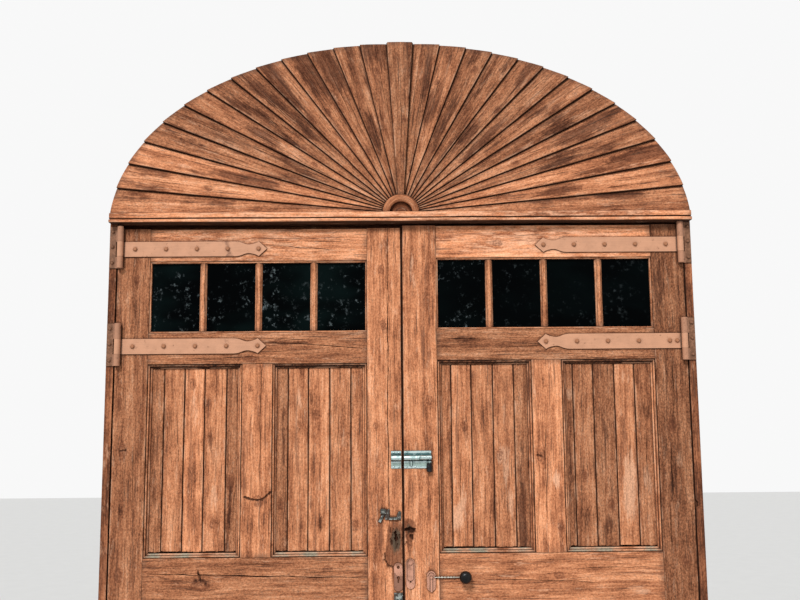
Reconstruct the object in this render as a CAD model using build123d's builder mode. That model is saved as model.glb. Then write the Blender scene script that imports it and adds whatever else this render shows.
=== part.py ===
"""Arched double door of planked timber with its frame, as seen from the street.

X runs to the right, Y into the house and Z up. The origin is on the floor, at the middle
of the door's width and depth. All sizes are in millimetres.
"""

import math
import os

from build123d import *

os.makedirs("parts", exist_ok=True)

# Frame round the opening, as half widths from the middle line
frame_half = 995.0
jamb_front_width = 24.0
jamb_stop_width = 40.0
frame_depth = 130.0
rebate_depth = 49.0
anchor_r = 5.5
anchor_inset = 92.0
anchor_first = 400.0
anchor_spacing = 1500.0
splinter_rise = 139.0
jamb_inner = frame_half - jamb_front_width
stop_inner = frame_half - jamb_stop_width
anchor_levels = (anchor_first, anchor_first + anchor_spacing)

# Foremost point of the door, the pull knob, counted from the frame's front face
knob_reach = 47.0
face = (knob_reach - frame_depth) / 2
frame_back = face + frame_depth
leaf_stop = face + rebate_depth

# Leaves: the left one hangs lower than the right one
leaf_inner = 3.0
leaf_tongue = 1.2
tongue_from = 12.0
tongue_to = 28.0
leaf_side_gap = 4.0
leaf_outer = jamb_inner - leaf_side_gap
leaf_front_step = 1.0
leaf_thick = 45.0
leaf_face = face + leaf_front_step
leaf_back = leaf_face + leaf_thick
leaf_bottom = 14.0
leaf_drop = 8.0
hinge_stile_width = 112.0
meeting_stile_width = 115.5
mullion_width = 102.0
bottom_rail_height = 220.0
lower_panel_height = 722.0
lock_rail_height = 190.0
upper_panel_height = 634.0
glass_rail_height = 106.0
glass_height = 244.0
top_rail_height = 113.0
edge_break = 1.5
shake_aside = 13.0
shake_half = 1.5

field_in = leaf_inner + meeting_stile_width
field_out = leaf_outer - hinge_stile_width
field_mid = (field_in + field_out) / 2
panel_spans = (
    (field_in, field_mid - mullion_width / 2),
    (field_mid + mullion_width / 2, field_out),
)
lock_rail_top = leaf_bottom + bottom_rail_height + lower_panel_height + lock_rail_height
glass_rail_top = lock_rail_top + upper_panel_height + glass_rail_height
leaf_top = glass_rail_top + glass_height + top_rail_height

# Transom, its moulding and the arched head above it
leaf_head_gap = 9.5
moulding_height = 34.0
moulding_inset = 3.0
moulding_reach = 35.0
moulding_break = 3.0
lip_height = 11.0
quirk_reach = 25.0
quirk_height = 4.0
band_reach = 30.0
transom_stop = 27.5
transom_rise = 73.5
transom_top_inset = 15.0
arch_sink = 39.5
arch_out = 3.0
arch_high = 649.0
rib_width = 56.0
moulding_bottom = leaf_top + leaf_head_gap
moulding_top = moulding_bottom + moulding_height
moulding_half = frame_half - moulding_inset
transom_bottom = moulding_bottom - transom_stop
transom_top = moulding_top + transom_rise
transom_top_half = frame_half - transom_top_inset
arch_centre = moulding_top - arch_sink
arch_wide = frame_half + arch_out

# Tapering boards of the head, and the hub that they point at
board_thick = 12.0
board_back = face + board_thick
board_count = 27
board_gap = 0.5
step_at_rim = 10.0
step_at_hub = 4.0
hub_r = 62.0
hub_band = 23.0
hub_reach = 24.0
hub_chamfer = 5.0
hub_lap = 10.0
hub_bore_r = hub_r - hub_band
centre_board_proud = 8.0
centre_board_rim = 45.0
centre_board_hub = 10.0
centre_board_front = step_at_rim + centre_board_proud

# Glazing bars, as depths behind the leaf's face
bar_pitch = 188.0
bar_width = 25.0
bar_nose = 11.0
bar_web = 8.0
bead_width = 5.5
bead_front = 3.0
bead_slope = 9.0
bead_step = 2.0
bar_web_depth = 16.0
glass_thick = 4.0
joint_gap = 0.3
bead_foot = bead_front + bead_slope
glass_front = bead_foot + bead_step
bar_back = glass_front + bar_web_depth

# Planked panels and the bevelled moulding that frames each of them
panel_front = 13.0
panel_thick = 18.0
bevel_width = 15.0
bevel_front = 1.0
bevel_lip = 3.0
bevel_foot = panel_front - bevel_lip
groove_first = 44.0
groove_pitch = 73.0
groove_half = 3.0
groove_depth = 4.0
channel_height = 7.0
channel_depth = 6.0

# Strap hinges: how far each sits from a rail's edge, and the outline from its pivot
strap_below_top = 70.0
strap_below_glass = 45.0
strap_above_bottom = 110.0
strap_levels = (
    leaf_top - strap_below_top,
    glass_rail_top - strap_below_glass,
    leaf_bottom + strap_above_bottom,
)
strap_names = ("top", "middle", "bottom")
hinge_inset = 11.0
axis_x = leaf_outer - hinge_inset
knuckle_r = 10.5
knuckle_clear = 1.5
axis_y = leaf_face - knuckle_r - knuckle_clear
pin_r = 5.0
running_gap = 0.05
strap_half = 25.5
strap_thick = 4.0
strap_parallel = 385.0
taper_run = 50.0
taper_in = 10.5
shoulder_run = 34.0
point_run = 28.0
strap_neck = strap_parallel + taper_run
strap_neck_half = strap_half - taper_in
strap_shoulder = strap_neck + shoulder_run
strap_length = strap_shoulder + point_run
strap_bolt_first = 49.0
strap_bolt_count = 5
strap_bolt_pitch = (strap_shoulder - strap_bolt_first) / (strap_bolt_count - 1)
spare_bolt_at = 24.0
bolt_head_r = 8.0
bolt_head_high = 5.5
knuckle_gap = 0.5
barrel_above = 78.0
barrel_below = 65.0
jamb_plate_inset = 1.5
jamb_plate_edge = 1.0
jamb_plate_in = jamb_inner + jamb_plate_inset
jamb_plate_out = frame_half - jamb_plate_edge
jamb_plate_thick = 4.0
jamb_bolt_ends = 18.0
jamb_bolt_middle = 8.0
jamb_bolt_r = 6.5

# Sliding bolt across the two leaves
bolt_rise = 310.5
bolt_level = lock_rail_top + bolt_rise
bolt_plate_below = 34.5
bolt_plate_above = 22.5
bolt_plate_levels = (bolt_level - bolt_plate_below, bolt_level + bolt_plate_above)
bolt_plate_inset = 1.0
bolt_plate_length = 90.0
bolt_plate_from = leaf_inner + bolt_plate_inset
bolt_plate_span = (bolt_plate_from, bolt_plate_from + bolt_plate_length)
bolt_plate_thick = 2.0
bolt_seat_height = 5.0
bolt_axis_out = 12.0
bolt_axis_y = leaf_face - bolt_axis_out
bolt_r = 6.0
bolt_tube_wall = 2.2
bolt_tube_r = bolt_r + bolt_tube_wall
bolt_fit = 0.08
bolt_travel = 30.0
bolt_handle_inset = 6.5
bolt_handle_x = bolt_plate_span[1] - bolt_handle_inset
bolt_neck_r = 3.5
bolt_ring_width = 6.6
bolt_pin_r = 3.0
bolt_window = 3.6
grip_r = 9.0
grip_from = 18.0
grip_length = 28.0
keep_inset = 3.0
keep_length = 33.0
keep_span = (-leaf_inner - keep_inset - keep_length, -leaf_inner - keep_inset)
keep_bore_play = 2.6
keep_wall = 1.8
keep_bore_r = bolt_r + keep_bore_play
keep_tube_r = keep_bore_r + keep_wall

# Lock plates beside the meeting line and the knob on the lock rail
keyhole_below = 76.0
keyhole_level = lock_rail_top - keyhole_below
keyhole_r = 5.0
keyhole_slot = 16.0
plate_width = 28.0
plate_thick = 3.0
plate_break = 1.0
left_plate_inset = 1.0
left_plate_below = 44.0
left_plate_height = 91.0
left_plate_x = leaf_inner + left_plate_inset + plate_width / 2
left_plate_bottom = keyhole_level - left_plate_below
right_plate_inset = 5.0
right_plate_below = 37.0
right_plate_height = 97.0
right_plate_x = leaf_inner + right_plate_inset + plate_width / 2
right_plate_bottom = keyhole_level - right_plate_below
rivet_below = 12.5
rivet_level = right_plate_bottom + right_plate_height - rivet_below
rivet_r = 3.0
rivet_head_r = 9.0
rivet_head_high = 4.0
cover_width = 18.0
cover_past_keyhole = 10.0
cover_gap = 0.2
cover_thick = 2.5
lower_plate_height = 62.0
lower_plate_gap = 4.0
pin_plate_x = 90.0
pin_plate_below = 44.0
pin_plate_height = 64.0
pin_plate_rim = 3.5
pin_level = keyhole_level
peg_r = 2.0
peg_head_r = 4.0
peg_head_high = 2.0
drop_pin_length = 46.0
drop_pin_width = 6.0
drop_pin_thick = 3.0
knob_x = 200.0
knob_rise = 4.0
knob_level = keyhole_level + knob_rise
knob_stem_r = 7.0
knob_r = 20.0
wire_r = 1.5
wire_wrap_r = 2.6
wire_wrap_length = 5.0
wire_wrap_pitch = 10.0
wire_wrap_first = 12.0
wire_wrap_count = 6
wire_end_play = 0.3

# Worn places on the meeting stiles, as heights above the lock rail
mortise_rise = 42.0
broken_rise = 54.0
latch_rise = 110.0
stile_crack_rise = 106.0
stile_crack_in = 45.0
rot_depth = 14.0

left, right = -1, 1


def upright(y):
    """Sketch plane at depth y seen from the street, from where extruding comes nearer."""
    return Plane.XZ.offset(-y)


def area(x0, x1, z0, z1, mode=Mode.ADD):
    """Rectangle between two uprights and two levels in the open sketch."""
    with Locations(((x0 + x1) / 2, (z0 + z1) / 2)):
        Rectangle(abs(x1 - x0), abs(z1 - z0), mode=mode)


def arch_point(angle):
    """Point on the head's outer curve, with the angle counted from its right end."""
    return (arch_wide * math.cos(angle), arch_centre + arch_high * math.sin(angle))


def rim_points(count):
    """Ends of equal lengths of the head's curve above the moulding, from left to right."""
    start = math.asin((moulding_top - arch_centre) / arch_high)
    steps = 4000
    turn = (math.pi - 2 * start) / steps
    curve = [arch_point(math.pi - start - turn * i) for i in range(steps + 1)]
    run = [0.0]
    for here, there in zip(curve, curve[1:]):
        run.append(run[-1] + math.dist(here, there))
    wanted = [run[-1] * i / count for i in range(count + 1)]
    return [curve[min(range(steps + 1), key=lambda i: abs(run[i] - want))] for want in wanted]


for side, hand in ((left, "left"), (right, "right")):
    with BuildPart() as jamb:
        with BuildSketch(upright(leaf_stop)):
            area(side * jamb_inner, side * frame_half, 0, moulding_bottom)
        extrude(amount=rebate_depth)
        with BuildSketch(upright(frame_back)):
            area(side * stop_inner, side * frame_half, 0, transom_bottom)
        extrude(amount=frame_depth - rebate_depth)
        with BuildSketch(Plane.YZ.offset(side * frame_half)):
            with Locations(*[(face + anchor_inset, level) for level in anchor_levels]):
                Circle(anchor_r)
        extrude(amount=-side * frame_half, mode=Mode.SUBTRACT)
        if side == right:
            # A splinter is gone from the edge beside the right leaf
            with BuildSketch(upright(face + 10)):
                with Locations((jamb_inner, lock_rail_top + splinter_rise)):
                    Polygon((-1, 0), (8, 7), (6, 21), (-1, 29), align=None)
            extrude(amount=10, mode=Mode.SUBTRACT)
    jamb.part.label = f"{hand}_jamb"
    export_step(jamb.part, f"parts/{hand}_jamb.step")

with BuildPart() as transom:
    with BuildSketch(Plane.YZ.offset(-frame_half)):
        Polygon(
            (face, moulding_bottom),
            (face, moulding_top),
            (frame_back, moulding_top),
            (frame_back, transom_bottom),
            (leaf_stop, transom_bottom),
            (leaf_stop, moulding_bottom),
            align=None,
        )
    extrude(amount=2 * frame_half)
    with BuildSketch(upright(frame_back)):
        area(-transom_top_half, transom_top_half, moulding_top, transom_top)
    extrude(amount=frame_back - board_back)
transom.part.label = "transom"
export_step(transom.part, "parts/transom.step")

with BuildPart() as moulding:
    with BuildSketch(Plane.YZ.offset(-moulding_half)):
        with Locations((face, moulding_bottom)):
            Polygon(
                (0, 0),
                (moulding_break - moulding_reach, 0),
                (-moulding_reach, moulding_break),
                (-moulding_reach, lip_height - moulding_break),
                (moulding_break - moulding_reach, lip_height),
                (-quirk_reach, lip_height),
                (-quirk_reach, lip_height + quirk_height),
                (-band_reach, lip_height + quirk_height),
                (-band_reach, moulding_height - moulding_break),
                (moulding_break - band_reach, moulding_height),
                (0, moulding_height),
                align=None,
            )
    extrude(amount=2 * moulding_half)
moulding.part.label = "transom_moulding"
export_step(moulding.part, "parts/transom_moulding.step")

with BuildPart() as rib:
    with BuildSketch(upright(frame_back)):
        with Locations((0, arch_centre)):
            Ellipse(arch_wide, arch_high)
            Ellipse(arch_wide - rib_width, arch_high - rib_width, mode=Mode.SUBTRACT)
        area(-arch_wide, arch_wide, arch_centre - arch_high, transom_top, Mode.SUBTRACT)
    extrude(amount=frame_back - board_back)
rib.part.label = "arch_rib"
export_step(rib.part, "parts/arch_rib.step")

# The head is boarded with tapering planks that point at the hub. Each laps the one below:
# its lower edge stands proud and its upper edge dips to the frame's face.
rim = rim_points(board_count)
middle_board = board_count // 2
ray_start = hub_r - hub_lap
ray_end = arch_wide * 1.06


def bearing(point):
    """Angle of a rim point as seen from the hub's centre."""
    return math.atan2(point[1] - moulding_top, point[0])


for side, hand in ((left, "left"), (right, "right")):
    with BuildPart() as planks:
        for number in range(middle_board):
            first = number if side == left else board_count - number
            lower = bearing(rim[first])
            upper = bearing(rim[first - side])
            middle = (lower + upper) / 2
            spread = abs(upper - lower) / 2
            out = Vector(math.cos(middle), 0, math.sin(middle))
            across = Vector(side * math.sin(middle), 0, -side * math.cos(middle)) * -1
            for reach, step in ((ray_start, step_at_hub), (ray_end, step_at_rim)):
                half = reach * math.tan(spread) - board_gap / 2
                centre = Vector(0, face, moulding_top) + out * reach
                with BuildSketch(Plane(origin=centre, x_dir=across, z_dir=out)):
                    Polygon(
                        (-half, side * step),
                        (half, 0),
                        (half, -side * board_thick),
                        (-half, -side * board_thick),
                        align=None,
                    )
            loft(ruled=True)
        with BuildSketch(upright(board_back)):
            with Locations((0, arch_centre)):
                Ellipse(arch_wide, arch_high)
            area(-arch_wide, arch_wide, 0, moulding_top, Mode.SUBTRACT)
            with Locations((0, moulding_top)):
                Circle(hub_r, mode=Mode.SUBTRACT)
        extrude(amount=board_thick + 2 * step_at_rim, mode=Mode.INTERSECT)
    planks.part.label = f"fan_boards_{hand}"
    export_step(planks.part, f"parts/fan_boards_{hand}.step")

core_bottom = moulding_top + hub_r - hub_lap
core_top = arch_centre + arch_high + hub_lap
core_slope = math.tan(math.pi / 2 - bearing(rim[middle_board + 1]))
with BuildPart() as centre_board:
    with BuildSketch(upright(board_back)):
        low = core_slope * (core_bottom - moulding_top) - board_gap
        high = core_slope * (core_top - moulding_top) - board_gap
        Polygon(
            (-low, core_bottom), (low, core_bottom), (high, core_top), (-high, core_top), align=None
        )
    extrude(amount=board_thick + step_at_rim + board_gap)
    with BuildSketch(upright(face - step_at_rim - board_gap)):
        Polygon(
            (-centre_board_hub, core_bottom),
            (centre_board_hub, core_bottom),
            (centre_board_rim, core_top),
            (-centre_board_rim, core_top),
            align=None,
        )
    extrude(amount=centre_board_front - step_at_rim)
    chamfer(centre_board.faces().sort_by(Axis.Y)[0].edges(), edge_break)
    with BuildSketch(upright(board_back)):
        with Locations((0, arch_centre)):
            Ellipse(arch_wide, arch_high)
        with Locations((0, moulding_top)):
            Circle(hub_r, mode=Mode.SUBTRACT)
    extrude(amount=board_thick + 2 * centre_board_front, mode=Mode.INTERSECT)
centre_board.part.label = "fan_centre_board"
export_step(centre_board.part, "parts/fan_centre_board.step")

with BuildPart() as hub_ring:
    with BuildSketch(upright(board_back)):
        with Locations((0, moulding_top)):
            Circle(hub_r)
            Circle(hub_bore_r, mode=Mode.SUBTRACT)
        area(-hub_r, hub_r, moulding_top - hub_r, moulding_top, Mode.SUBTRACT)
    extrude(amount=board_thick + hub_reach)
    chamfer(hub_ring.faces().sort_by(Axis.Y)[0].edges().filter_by(GeomType.CIRCLE), hub_chamfer)
hub_ring.part.label = "hub_ring"
export_step(hub_ring.part, "parts/hub_ring.step")

with BuildPart() as hub_disc:
    with BuildSketch(upright(board_back)):
        with Locations((0, moulding_top)):
            Circle(hub_bore_r - board_gap / 2)
        area(-hub_r, hub_r, moulding_top - hub_r, moulding_top, Mode.SUBTRACT)
    extrude(amount=board_thick + step_at_hub)
    with BuildSketch(upright(face - step_at_hub)):
        with Locations((0, moulding_top)):
            Circle(hub_bore_r / 2)
        area(-hub_r, hub_r, moulding_top - hub_r, moulding_top, Mode.SUBTRACT)
    extrude(amount=step_at_hub, taper=30)
hub_disc.part.label = "hub_disc"
export_step(hub_disc.part, "parts/hub_disc.step")

for side, hand in ((left, "left"), (right, "right")):
    drop = leaf_drop if side == left else 0.0
    bottom = leaf_bottom - drop
    lower_from = bottom + bottom_rail_height
    lower_to = lower_from + lower_panel_height
    upper_from = lower_to + lock_rail_height
    upper_to = upper_from + upper_panel_height
    glass_from = upper_to + glass_rail_height
    glass_to = glass_from + glass_height
    top = glass_to + top_rail_height

    with BuildPart() as hinge_stile:
        with BuildSketch(upright(leaf_back)):
            area(side * field_out, side * leaf_outer, bottom, top)
        extrude(amount=leaf_thick)
        chamfer(hinge_stile.faces().sort_by(Axis.Y)[0].edges(), edge_break)
    hinge_stile.part.label = f"{hand}_hinge_stile"
    export_step(hinge_stile.part, f"parts/{hand}_hinge_stile.step")

    # Behind the worn arris the edge comes closer, and its back is eased to swing clear
    with BuildPart() as meeting_stile:
        with BuildSketch(Plane.XY.offset(bottom)):
            with Locations((0, leaf_face)):
                Polygon(
                    (side * field_in, 0),
                    (side * leaf_inner, 0),
                    (side * leaf_inner, tongue_from),
                    (side * leaf_tongue, tongue_from),
                    (side * leaf_tongue, tongue_to),
                    (side * leaf_inner, leaf_thick),
                    (side * field_in, leaf_thick),
                    align=None,
                )
        extrude(amount=top - bottom)
        chamfer(meeting_stile.faces().sort_by(Axis.Y)[0].edges(), edge_break)
        if side == left:
            # A long joint runs down the stile, and a worn-out mortise is beside the edge
            crack_from = lock_rail_top + stile_crack_rise
            with BuildSketch(Plane.XY.offset(crack_from)):
                with Locations((-leaf_inner - stile_crack_in, leaf_face)):
                    Polygon((-2, 0), (2, 0), (0, 4), align=None)
            extrude(amount=top - crack_from, mode=Mode.SUBTRACT)
            with BuildSketch(upright(leaf_face + rot_depth)):
                with Locations((-leaf_inner, lock_rail_top + mortise_rise)):
                    Polygon((-27, 1), (-18, 0), (-17, 15), (-19, 29), (-26, 28), align=None)
            extrude(amount=rot_depth, mode=Mode.SUBTRACT)
        else:
            # The wood is broken out where an older lock was
            with BuildSketch(upright(leaf_face + rot_depth)):
                with Locations((leaf_inner, lock_rail_top + broken_rise)):
                    Polygon(
                        (-1, 22),
                        (9, 13),
                        (17, 12),
                        (18, 0),
                        (24, 0),
                        (25, 10),
                        (31, 14),
                        (33, 26),
                        (28, 34),
                        (18, 36),
                        (8, 33),
                        (-1, 29),
                        align=None,
                    )
            extrude(amount=rot_depth, mode=Mode.SUBTRACT)
    meeting_stile.part.label = f"{hand}_meeting_stile"
    export_step(meeting_stile.part, f"parts/{hand}_meeting_stile.step")

    rails = (
        ("bottom_rail", bottom, lower_from),
        ("lock_rail", lower_to, upper_from),
        ("glass_rail", upper_to, glass_from),
        ("top_rail", glass_to, top),
    )
    for name, low, high in rails:
        with BuildPart() as rail:
            with BuildSketch(upright(leaf_back)):
                area(side * field_in, side * field_out, low, high)
            extrude(amount=leaf_thick)
            chamfer(rail.faces().sort_by(Axis.Y)[0].edges(), edge_break)
        rail.part.label = f"{hand}_{name}"
        export_step(rail.part, f"parts/{hand}_{name}.step")

    for name, low, high in (("lower", lower_from, lower_to), ("upper", upper_from, upper_to)):
        with BuildPart() as mullion:
            with BuildSketch(upright(leaf_back)):
                area(side * panel_spans[0][1], side * panel_spans[1][0], low, high)
            extrude(amount=leaf_thick)
            chamfer(mullion.faces().sort_by(Axis.Y)[0].edges(), edge_break)
            # A shake runs the length of the wood, off its middle
            with BuildSketch(Plane.XY.offset(low)):
                with Locations((side * (field_mid - shake_aside), leaf_face)):
                    Polygon((-shake_half, 0), (shake_half, 0), (0, 2 * shake_half), align=None)
            extrude(amount=high - low, mode=Mode.SUBTRACT)
        mullion.part.label = f"{hand}_{name}_mullion"
        export_step(mullion.part, f"parts/{hand}_{name}_mullion.step")

        with BuildPart() as panels:
            for span in panel_spans:
                with BuildSketch(upright(leaf_face + panel_front + panel_thick)):
                    area(side * span[0], side * span[1], low, high)
                extrude(amount=panel_thick)
                # The narrow board is on the panel's left, but on the outer left panel's right
                start = span[0] if side == right else span[1]
                turn = 1 if side == right else -1
                if side == left and span == panel_spans[1]:
                    start = span[0]
                    turn = 1
                with BuildSketch(Plane.XY.offset(low)):
                    for number in range(4):
                        groove = start + turn * (groove_first + number * groove_pitch)
                        with Locations((side * groove, leaf_face + panel_front)):
                            Polygon(
                                (-groove_half, 0), (groove_half, 0), (0, groove_depth), align=None
                            )
                extrude(amount=high - low, mode=Mode.SUBTRACT)
                if name == "upper":
                    # Rain has rotted a channel across the boards' feet
                    with BuildSketch(upright(leaf_face + panel_front + channel_depth)):
                        area(
                            side * (span[0] + bevel_width),
                            side * (span[1] - bevel_width),
                            low + bevel_width,
                            low + bevel_width + channel_height,
                        )
                    extrude(amount=channel_depth, mode=Mode.SUBTRACT)
        panels.part.label = f"{hand}_{name}_panels"
        export_step(panels.part, f"parts/{hand}_{name}_panels.step")

    with BuildPart() as bevels:
        for low, high in ((lower_from, lower_to), (upper_from, upper_to)):
            for span in panel_spans:
                wide = span[1] - span[0]
                tall = high - low
                across = side * (span[0] + span[1]) / 2
                thick_out = panel_front - bevel_front
                thick_in = panel_front - bevel_foot
                mid_out = leaf_face + bevel_front + thick_out / 2
                mid_in = leaf_face + bevel_foot + thick_in / 2
                for edge, inward in ((low, 1), (high, -1)):
                    with BuildSketch(Plane.XY.offset(edge)):
                        with Locations((across, mid_out)):
                            Rectangle(wide - 2 * joint_gap, thick_out)
                    with BuildSketch(Plane.XY.offset(edge + inward * bevel_width)):
                        with Locations((across, mid_in)):
                            Rectangle(wide - 2 * bevel_width - 2 * joint_gap, thick_in)
                    loft(ruled=True)
                for edge, inward in ((span[0], 1), (span[1], -1)):
                    with BuildSketch(Plane.YZ.offset(side * edge)):
                        with Locations((mid_out, (low + high) / 2)):
                            Rectangle(thick_out, tall)
                    with BuildSketch(Plane.YZ.offset(side * (edge + inward * bevel_width))):
                        with Locations((mid_in, (low + high) / 2)):
                            Rectangle(thick_in, tall - 2 * bevel_width)
                    loft(ruled=True)
    bevels.part.label = f"{hand}_panel_mouldings"
    export_step(bevels.part, f"parts/{hand}_panel_mouldings.step")

    bars_at = [field_mid + number * bar_pitch for number in (-1, 0, 1)]
    with BuildPart() as bars:
        with BuildSketch(Plane.XY.offset(glass_from + bead_width + joint_gap)):
            for across in bars_at:
                with Locations((side * across, leaf_face)):
                    Polygon(
                        (-bar_nose / 2, bead_front),
                        (bar_nose / 2, bead_front),
                        (bar_width / 2, bead_foot),
                        (bar_width / 2, glass_front),
                        (bar_web / 2, glass_front),
                        (bar_web / 2, bar_back),
                        (-bar_web / 2, bar_back),
                        (-bar_web / 2, glass_front),
                        (-bar_width / 2, glass_front),
                        (-bar_width / 2, bead_foot),
                        align=None,
                    )
            for edge, inward in ((field_in, 1), (field_out, -1)):
                with Locations((side * edge, leaf_face)):
                    Polygon(
                        (0, bead_front),
                        (side * inward * bead_width, bead_foot),
                        (side * inward * bead_width, glass_front),
                        (0, glass_front),
                        align=None,
                    )
        extrude(amount=glass_height - 2 * bead_width - 2 * joint_gap)
        with BuildSketch(Plane.YZ.offset(side * field_in)):
            for edge, inward in ((glass_from, 1), (glass_to, -1)):
                with Locations((leaf_face, edge)):
                    Polygon(
                        (bead_front, 0),
                        (bead_foot, inward * bead_width),
                        (glass_front, inward * bead_width),
                        (glass_front, 0),
                        align=None,
                    )
        extrude(amount=side * (field_out - field_in))
    bars.part.label = f"{hand}_glazing_bars"
    export_step(bars.part, f"parts/{hand}_glazing_bars.step")

    pane_edges = [field_in]
    for across in bars_at:
        pane_edges += [across - bar_web / 2, across + bar_web / 2]
    pane_edges.append(field_out)
    with BuildPart() as glass:
        with BuildSketch(upright(leaf_face + glass_front + glass_thick)):
            for number in range(0, len(pane_edges), 2):
                area(side * pane_edges[number], side * pane_edges[number + 1], glass_from, glass_to)
        extrude(amount=glass_thick)
    glass.part.label = f"{hand}_glass"
    export_step(glass.part, f"parts/{hand}_glass.step")

    for name, level in zip(strap_names, strap_levels):
        # The sketch runs from the pivot towards the strap's point
        strap_plane = Plane(
            origin=(side * axis_x, leaf_face, level - drop), x_dir=(-side, 0, 0), z_dir=(0, -1, 0)
        )
        with BuildPart() as strap:
            with BuildSketch(strap_plane):
                with BuildLine():
                    Line((0, 0), (0, strap_half))
                    Line((0, strap_half), (strap_parallel, strap_half))
                    Spline(
                        (strap_parallel, strap_half),
                        (strap_parallel + taper_run * 0.52, strap_half - taper_in * 0.38),
                        (strap_neck, strap_neck_half),
                        tangents=((1, 0), (1, 0)),
                    )
                    Spline(
                        (strap_neck, strap_neck_half),
                        (strap_neck + shoulder_run * 0.53, strap_neck_half + taper_in * 0.29),
                        (strap_shoulder, strap_half),
                        tangents=((1, 0), (1, 1)),
                    )
                    Line((strap_shoulder, strap_half), (strap_length, 0))
                    mirror(about=Plane.XZ)
                make_face()
            extrude(amount=strap_thick)
            with Locations((side * axis_x, axis_y, level - drop)):
                Cylinder(knuckle_r, 2 * strap_half)
                Cylinder(pin_r + running_gap, 2 * strap_half, mode=Mode.SUBTRACT)
        strap.part.label = f"{hand}_strap_{name}"
        export_step(strap.part, f"parts/{hand}_strap_{name}.step")

    with BuildPart() as strap_bolts:
        with BuildSketch(upright(leaf_face - strap_thick)):
            for name, level in zip(strap_names, strap_levels):
                spots = [strap_bolt_first + n * strap_bolt_pitch for n in range(strap_bolt_count)]
                if side == right and name == "middle":
                    spots.append(spare_bolt_at)
                with Locations(*[(side * (axis_x - spot), level - drop) for spot in spots]):
                    Circle(bolt_head_r)
        extrude(amount=bolt_head_high, taper=35)
    strap_bolts.part.label = f"{hand}_strap_bolts"
    export_step(strap_bolts.part, f"parts/{hand}_strap_bolts.step")

    with BuildPart() as jamb_hinges:
        for level in strap_levels:
            barrel_top = level - drop + barrel_above
            barrel_bottom = level - drop - barrel_below
            with BuildSketch(upright(face)):
                area(side * jamb_plate_in, side * jamb_plate_out, barrel_bottom, barrel_top)
            extrude(amount=jamb_plate_thick)
            knuckles = (
                (level - drop + strap_half + knuckle_gap, barrel_top),
                (barrel_bottom, level - drop - strap_half - knuckle_gap),
            )
            for low, high in knuckles:
                with BuildSketch(upright(face)):
                    area(side * axis_x, side * jamb_plate_in, low, high)
                extrude(amount=jamb_plate_thick)
                with Locations((side * axis_x, axis_y, (low + high) / 2)):
                    Cylinder(knuckle_r, high - low)
            with Locations((side * axis_x, axis_y, (barrel_bottom + barrel_top) / 2)):
                Cylinder(pin_r, barrel_top - barrel_bottom)
            with BuildSketch(upright(face - jamb_plate_thick)):
                middle = side * (jamb_plate_in + jamb_plate_out) / 2
                with Locations(
                    (middle, barrel_top - jamb_bolt_ends),
                    (middle, level - drop + jamb_bolt_middle),
                    (middle, barrel_bottom + jamb_bolt_ends),
                ):
                    Circle(jamb_bolt_r)
            extrude(amount=bolt_head_high, taper=35)
    jamb_hinges.part.label = f"{hand}_jamb_hinges"
    export_step(jamb_hinges.part, f"parts/{hand}_jamb_hinges.step")

# Sliding bolt: its bar and handle are drawn back to the right, clear of the keep
bolt_middle = sum(bolt_plate_span) / 2
bolt_length = bolt_plate_span[1] - bolt_plate_span[0]
bolt_centre = Plane(origin=(0, bolt_axis_y, bolt_level), x_dir=(0, 1, 0), z_dir=(1, 0, 0))
window_from = bolt_handle_x - bolt_travel - bolt_ring_width / 2 - 0.4
window_to = bolt_handle_x + bolt_ring_width / 2 + 0.2
with BuildPart() as housing:
    with BuildSketch(upright(leaf_face)):
        area(*bolt_plate_span, *bolt_plate_levels)
    extrude(amount=bolt_plate_thick)
    with BuildSketch(upright(leaf_face - bolt_plate_thick)):
        area(*bolt_plate_span, bolt_level - bolt_r, bolt_level + bolt_r)
    extrude(amount=bolt_seat_height)
    with BuildSketch(bolt_centre.offset(bolt_plate_span[0])):
        Circle(bolt_tube_r)
    extrude(amount=bolt_length)
    with BuildSketch(bolt_centre.offset(bolt_plate_span[0])):
        Circle(bolt_r + bolt_fit)
    extrude(amount=bolt_length, mode=Mode.SUBTRACT)
    # The handle's window leaves the tube open from straight down to straight out
    with BuildSketch(bolt_centre.offset(window_from)):
        area(-2 * bolt_tube_r, bolt_window, -2 * bolt_tube_r, bolt_window)
    extrude(amount=window_to - window_from, mode=Mode.SUBTRACT)
    with BuildSketch(upright(leaf_face - bolt_plate_thick)):
        with Locations((bolt_plate_span[0] + 23.5, bolt_plate_levels[0] + 16.5)):
            Rectangle(5, 19)
    extrude(amount=6)
housing.part.label = "bolt_housing"
export_step(housing.part, "parts/bolt_housing.step")

with BuildPart() as keep:
    with BuildSketch(upright(leaf_face)):
        area(*keep_span, *bolt_plate_levels)
    extrude(amount=bolt_plate_thick)
    with BuildSketch(upright(leaf_face - bolt_plate_thick)):
        area(*keep_span, bolt_level - keep_bore_r, bolt_level + keep_bore_r)
    extrude(amount=bolt_seat_height)
    with BuildSketch(bolt_centre.offset(keep_span[0])):
        Circle(keep_tube_r)
    extrude(amount=keep_span[1] - keep_span[0])
    with BuildSketch(bolt_centre.offset(keep_span[0])):
        Circle(keep_bore_r)
    extrude(amount=keep_span[1] - keep_span[0], mode=Mode.SUBTRACT)
keep.part.label = "bolt_keep"
export_step(keep.part, "parts/bolt_keep.step")

with BuildPart() as rod:
    with BuildSketch(bolt_centre.offset(bolt_plate_span[0] + 1)):
        Circle(bolt_r)
    extrude(amount=bolt_length - 2)
    with BuildSketch(bolt_centre.offset(bolt_handle_x - bolt_ring_width / 2 - 0.2)):
        Circle(bolt_r)
        Circle(bolt_neck_r, mode=Mode.SUBTRACT)
    extrude(amount=bolt_ring_width + 0.4, mode=Mode.SUBTRACT)
rod.part.label = "bolt_rod"
export_step(rod.part, "parts/bolt_rod.step")

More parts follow.
